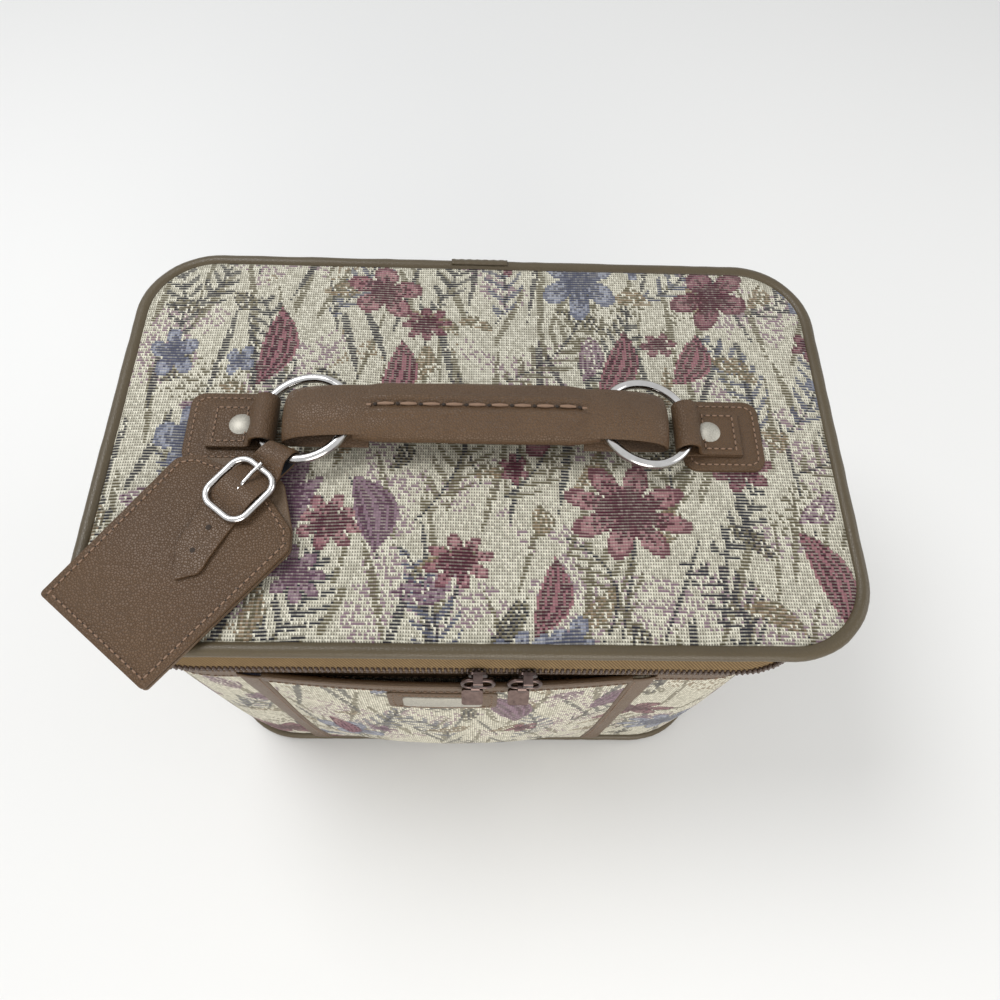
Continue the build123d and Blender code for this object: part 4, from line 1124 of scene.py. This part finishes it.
stitches = tab_strap("left_tab_strap", -1, "tab_strap_left")
stitches += tab_strap("right_tab_strap", 1, "tab_strap_right")
print("strap stitches:", stitches)

# %% [markdown]
# The handle's grip is a padded tube, oval in section, closed by a seam that runs along its top. At
# both ends the vinyl goes on as a flat strap, which folds round the ring and comes back under it.

# %% Handle grip
GRIP_Z = CORD_Z + 18.7
STITCH_PITCH = 10.3


def tapered(x):
    """0 along the grip's middle, rising to 1 at its two ends."""
    return max(0.0, (abs(x) - 40.0) / 14.0)


def grip_place(s, t):
    x = -54.0 + 108.0 * t
    end = tapered(x)
    half_w = 14.75 - 1.9 * end ** 1.5
    half_h = 7.5 - 2.9 * end ** 1.5
    turn = 2 * pi * s + pi / 2
    off_seam = 70.0 * (s if s < 0.5 else 1 - s)
    stitched = min(1.0, max(0.0, (57.0 - abs(x - 1.0)) / 4.0))
    welt = (1.2 * exp(-((off_seam - 2.9) / 1.4) ** 2) - 0.8 * exp(-(off_seam / 1.2) ** 2)) * stitched
    pull = 0.12 * sin(2 * pi * x / STITCH_PITCH) * exp(-(off_seam / 4.0) ** 2)
    crease = 0.28 * noise.noise(Vector((x / 16, cos(turn) * 1.4, sin(turn) * 1.4)))
    y = (half_w + crease) * cos(turn)
    z = (half_h + crease + welt + pull) * sin(turn)
    return LID_X + x, LID_Y + y, GRIP_Z + z - 0.6 * end


bm = cloth_patch(112, 84, grip_place)
bmesh.ops.remove_doubles(bm, verts=bm.verts, dist=1e-6)
ends = [edge for edge in bm.edges if edge.is_boundary]
bmesh.ops.holes_fill(bm, edges=ends, sides=0)
bmesh.ops.recalc_face_normals(bm, faces=bm.faces)
grip = add_piece("handle_grip", bm, "handle", handle_vinyl)
top_seam = [mm(LID_X + x, LID_Y, GRIP_Z + 7.25 - 3.5 * tapered(x) ** 1.5) for x in range(-54, 56, 4)]
print("grip stitches:", sew("handle", top_seam, STITCH_PITCH, 8.6, 2.0))

# %% Handle straps
STRAP_Z, STRAP_ARCH = CORD_Z + 14.2, 20.0
HANDLE_PATH = [
    (46.0, 10.2), (56.0, 10.4), (66.0, 9.8), (72.0, 8.9), (77.0, 7.9), (80.5, 6.6), (83.2, 4.9),
    (84.8, 3.2), (85.4, 1.6), (84.9, 0.4), (83.6, -0.5), (81.6, -0.75), (48.0, -0.75),
]


def handle_strap(name, side):
    def place(x, y, z):
        fall = STRAP_ARCH - sqrt(STRAP_ARCH ** 2 - y * y)
        return LID_X + side * x, LID_Y + side * y, STRAP_Z + z - fall

    bm = ribbon(HANDLE_PATH, 25.2, place, 14)
    add_piece(name, bm, "handle", handle_vinyl, (), 60, 1.4, 0.0, 0.4)


handle_strap("handle_left_strap", -1)
handle_strap("handle_right_strap", 1)
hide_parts("handle_cover")

# %% [markdown]
# The luggage tag lies on the lid's front corner. It is two panels of vinyl sewn round their edge,
# with a card between them. Its own frame has X running from its bottom edge towards the ring, so
# every piece is drawn flat and then laid in place.

# %% Tag panels
TAG_BOTTOM = Vector((-146.0, -95.5, 222.45))
TAG_HEADING, TAG_RISE = radians(51.84), radians(2.0)
tag_x = Vector((cos(TAG_HEADING) * cos(TAG_RISE), sin(TAG_HEADING) * cos(TAG_RISE), sin(TAG_RISE)))
tag_z = Vector((-cos(TAG_HEADING) * sin(TAG_RISE), -sin(TAG_HEADING) * sin(TAG_RISE), cos(TAG_RISE)))
tag_y = tag_z.cross(tag_x)
TAG_PLACE = Matrix((tag_x, tag_y, tag_z)).transposed().to_4x4()
TAG_PLACE.translation = TAG_BOTTOM * MM


def on_tag(x, y, z):
    return TAG_PLACE @ mm(x, y, z)


def tag_panel(name, z, neck, material, replaced):
    corners = [(0, -31), (76, -34.5), (83, -28.5), (neck, -9.5), (neck, 9.5), (83, 28.5), (76, 34.5), (0, 31)]
    bm = bmesh.new()
    verts = [bm.verts.new((x * MM, y * MM, 0)) for x, y in corners]
    bm.faces.new(verts)
    round_corners(bm, 1.8, 4)
    slab(bm, 1.3, 0.5)
    bmesh.ops.recalc_face_normals(bm, faces=bm.faces)
    bmesh.ops.translate(bm, vec=(0, 0, z * MM), verts=bm.verts)
    bmesh.ops.transform(bm, matrix=TAG_PLACE, verts=bm.verts)
    add_piece(name, bm, "tag", material, [replaced])


tag_panel("tag_back_panel", 0.0, 97.0, binding_vinyl, "tag_back")
tag_panel("tag_front_panel", 2.65, 88.0, lid_vinyl, "tag_front")
edge_line = [(3.0, -28), (75.4, -31.3), (80.4, -27.0), (86.0, -8.5)]
edge_line += [(x, -y) for x, y in reversed(edge_line)]
tag_seam = [on_tag(x, y, 4.1) for x, y in edge_line]
print("tag stitches:", sew("tag", tag_seam, 3.2, 2.5, 0.85, tag_z, True))

# %% [markdown]
# The tag's strap starts between the panels, runs up to the ring, goes round its wire and comes back
# through the buckle, and its tip lies on the tag. Each station gives the strap's x, z and y on the
# tag, how far it is skewed in degrees and how wide it is. Its inner side is dark.

# %% Tag strap
stations = [
    (61.0, 1.95, 0, 0, 14.0), (81.0, 1.95, 0, 0, 14.0), (97.0, 1.9, 0, 4, 14.0),
    (101.0, 0.2, 0, 13, 12.8), (104.9, -0.1, 0, 15, 12.6), (107.9, 1.1, 0, 15, 12.6),
    (109.1, 4.19, 0, 15, 12.6), (107.9, 7.3, 0, 15, 12.6), (104.9, 8.5, 0, 15, 12.8),
    (101.0, 8.2, 0, 12, 13.6), (96.4, 5.3, 0, 3, 16.6), (92.5, 5.0, 0, 0, 17.6),
    (86.0, 7.2, 0, 0, 17.8), (82.0, 7.85, 0, 0, 17.8), (78.0, 7.2, 0, 0, 17.8), (71.5, 5.0, 0, 0, 17.6),
    (66.0, 4.95, -1.2, -8, 17.4), (56.0, 5.3, -3.4, -12, 17.2), (48.0, 5.2, -5.2, -12, 16.8),
    (43.0, 4.95, -6.3, -12, 9.4), (38.0, 4.85, -7.4, -12, 1.2),
]


def strap_place(s, t):
    x, z, y, turn, width = smooth_between(stations, t)
    off = (s - 0.5) * width
    spot = Vector((x - off * sin(radians(turn)), y + off * cos(radians(turn)), z))
    return Vector(on_tag(*spot)) / MM


bm = cloth_patch(10, 140, strap_place)
bmesh.ops.recalc_face_normals(bm, faces=bm.faces)
strap = add_piece("tag_buckled_strap", bm, "tag", handle_vinyl, ["tag_strap"], 60, 1.2, 0.0, 0.3)
strap.data.materials.append(strap_back)
strap.modifiers["thickness"].material_offset = 1
# Painted shade: dark flat beads sit in the strap's two holes.
strap_hole_shade = Matrix.Diagonal((0.0013, 0.0013, 0.00025, 1))
for x, y in ((62.0, -2.1), (51.0, -4.5)):
    place = TAG_PLACE @ Matrix.Translation(mm(x, y, 5.85))
    stamp(hole_shade_work["tag"], hole_shade_grain, place @ strap_hole_shade)

# %% [markdown]
# All the stitches of a body are one mesh, and so are the dark beads of painted shade in their needle holes.

# %% Stitches
for body, threads in thread_work.items():
    add_piece(f"stitches_{body}", threads, body, thread_twist, (), 60)
for body, hole_shades in hole_shade_work.items():
    add_piece(f"needle_hole_shades_{body}", hole_shades, body, hole_shadow, (), 60)

# %% [markdown]
# Hard pieces, and the plain ones inside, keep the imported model's shape. They only get a finish.

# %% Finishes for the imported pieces
finishes = {
    bright_plate: ["ring_left", "ring_right", "tag_buckle", "buckle_prong"],
    satin_nickel: ["tab_rivets"],
    gunmetal: [part + side for part in ("slider", "pull_link", "pull_tab") for side in ("_left", "_right")],
    mirror_glass: ["mirror"],
    binding_vinyl: ["base_panel", "mirror_frame"],
    board_card: ["body_board", "lid_board"],
    lining_cloth: ["body_lining", "lid_lining", "lid_foam", "handle_core"],
    elastic_cloth: ["elastic_loops"],
    card_paper: ["tag_card"],
}
for finish, names in finishes.items():
    for name in names:
        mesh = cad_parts[name].data
        mesh.materials.clear()
        mesh.materials.append(finish)
        mesh.shade_smooth()
        mesh.set_sharp_from_angle(angle=radians(35))
print("finished nodes:", sum(len(names) for names in finishes.values()))

# %% [markdown]
# The case stands on a pale floor in a soft white studio. The key light stands high on the left, a
# warm one shines low from the front, and a weak one from the right. The world fills the shadows,
# and the camera, metal and glass see it brighter than the case is lit by it.

# %% Floor, lights and world
floor_mesh = bpy.data.meshes.new("floor")
bm = bmesh.new()
bmesh.ops.create_grid(bm, x_segments=1, y_segments=1, size=6)
bm.to_mesh(floor_mesh)
bm.free()
floor_piece = new_object("floor", floor_mesh)
floor_paper, tree, shader = new_material("pale paper", Base_Color=(0.80, 0.80, 0.79, 1), Roughness=0.9)
floor_mesh.materials.append(floor_paper)


def soft_light(name, place, size, power, tint):
    data = bpy.data.lights.new(name, "AREA")
    data.shape = "DISK"
    data.size = size
    data.energy = power
    data.color = tint
    light = new_object(name, data)
    light.location = place
    light.rotation_euler = (Vector((0, 0, 0.1)) - Vector(place)).to_track_quat("-Z", "Y").to_euler()


soft_light("key", (-0.55, 0.25, 1.25), 0.6, 9.0, (0.985, 0.99, 1.0))
soft_light("front", (0.20, -1.35, 0.42), 0.9, 12.0, (1.0, 0.955, 0.89))
soft_light("side", (1.2, 0.1, 0.7), 0.7, 3.0, (1.0, 1.0, 1.0))
world = bpy.data.worlds.new("studio")
world.use_nodes = True
tree = world.node_tree
tree.nodes["Background"].inputs["Color"].default_value = (0.93, 0.94, 0.95, 1)
rays = node(tree, "ShaderNodeLightPath")
mirrored = out(rays, "Is Glossy Ray").calc("MAXIMUM", out(rays, "Is Transmission Ray"))
seen = out(rays, "Is Camera Ray").calc("MAXIMUM", mirrored)
fill(tree.nodes["Background"].inputs["Strength"], seen.calc("MULTIPLY_ADD", 0.38, 0.62))
bpy.context.scene.world = world
bpy.context.scene.view_settings.view_transform = "Standard"
print("lights and world ready")

# %% [markdown]
# The camera looks down from above the front edge, as the photograph does. Its place was worked out
# from the outlines of the lid and the base.

# %% Camera
camera_data = bpy.data.cameras.new("camera")
camera_data.lens = 27.0
camera_data.sensor_width = 36.0
camera = new_object("camera", camera_data)
right = Vector((0.9995, 0.0, 0.0324))
forward = Vector((0.0292, 0.4327, -0.9011))
up = forward.cross(right) * -1
eye = Matrix.Translation(mm(5.95, -173.2, 520.9))
camera.matrix_world = eye @ Matrix((right, up, -forward)).transposed().to_4x4()
bpy.context.scene.camera = camera
print("camera ready, lens", camera_data.lens)
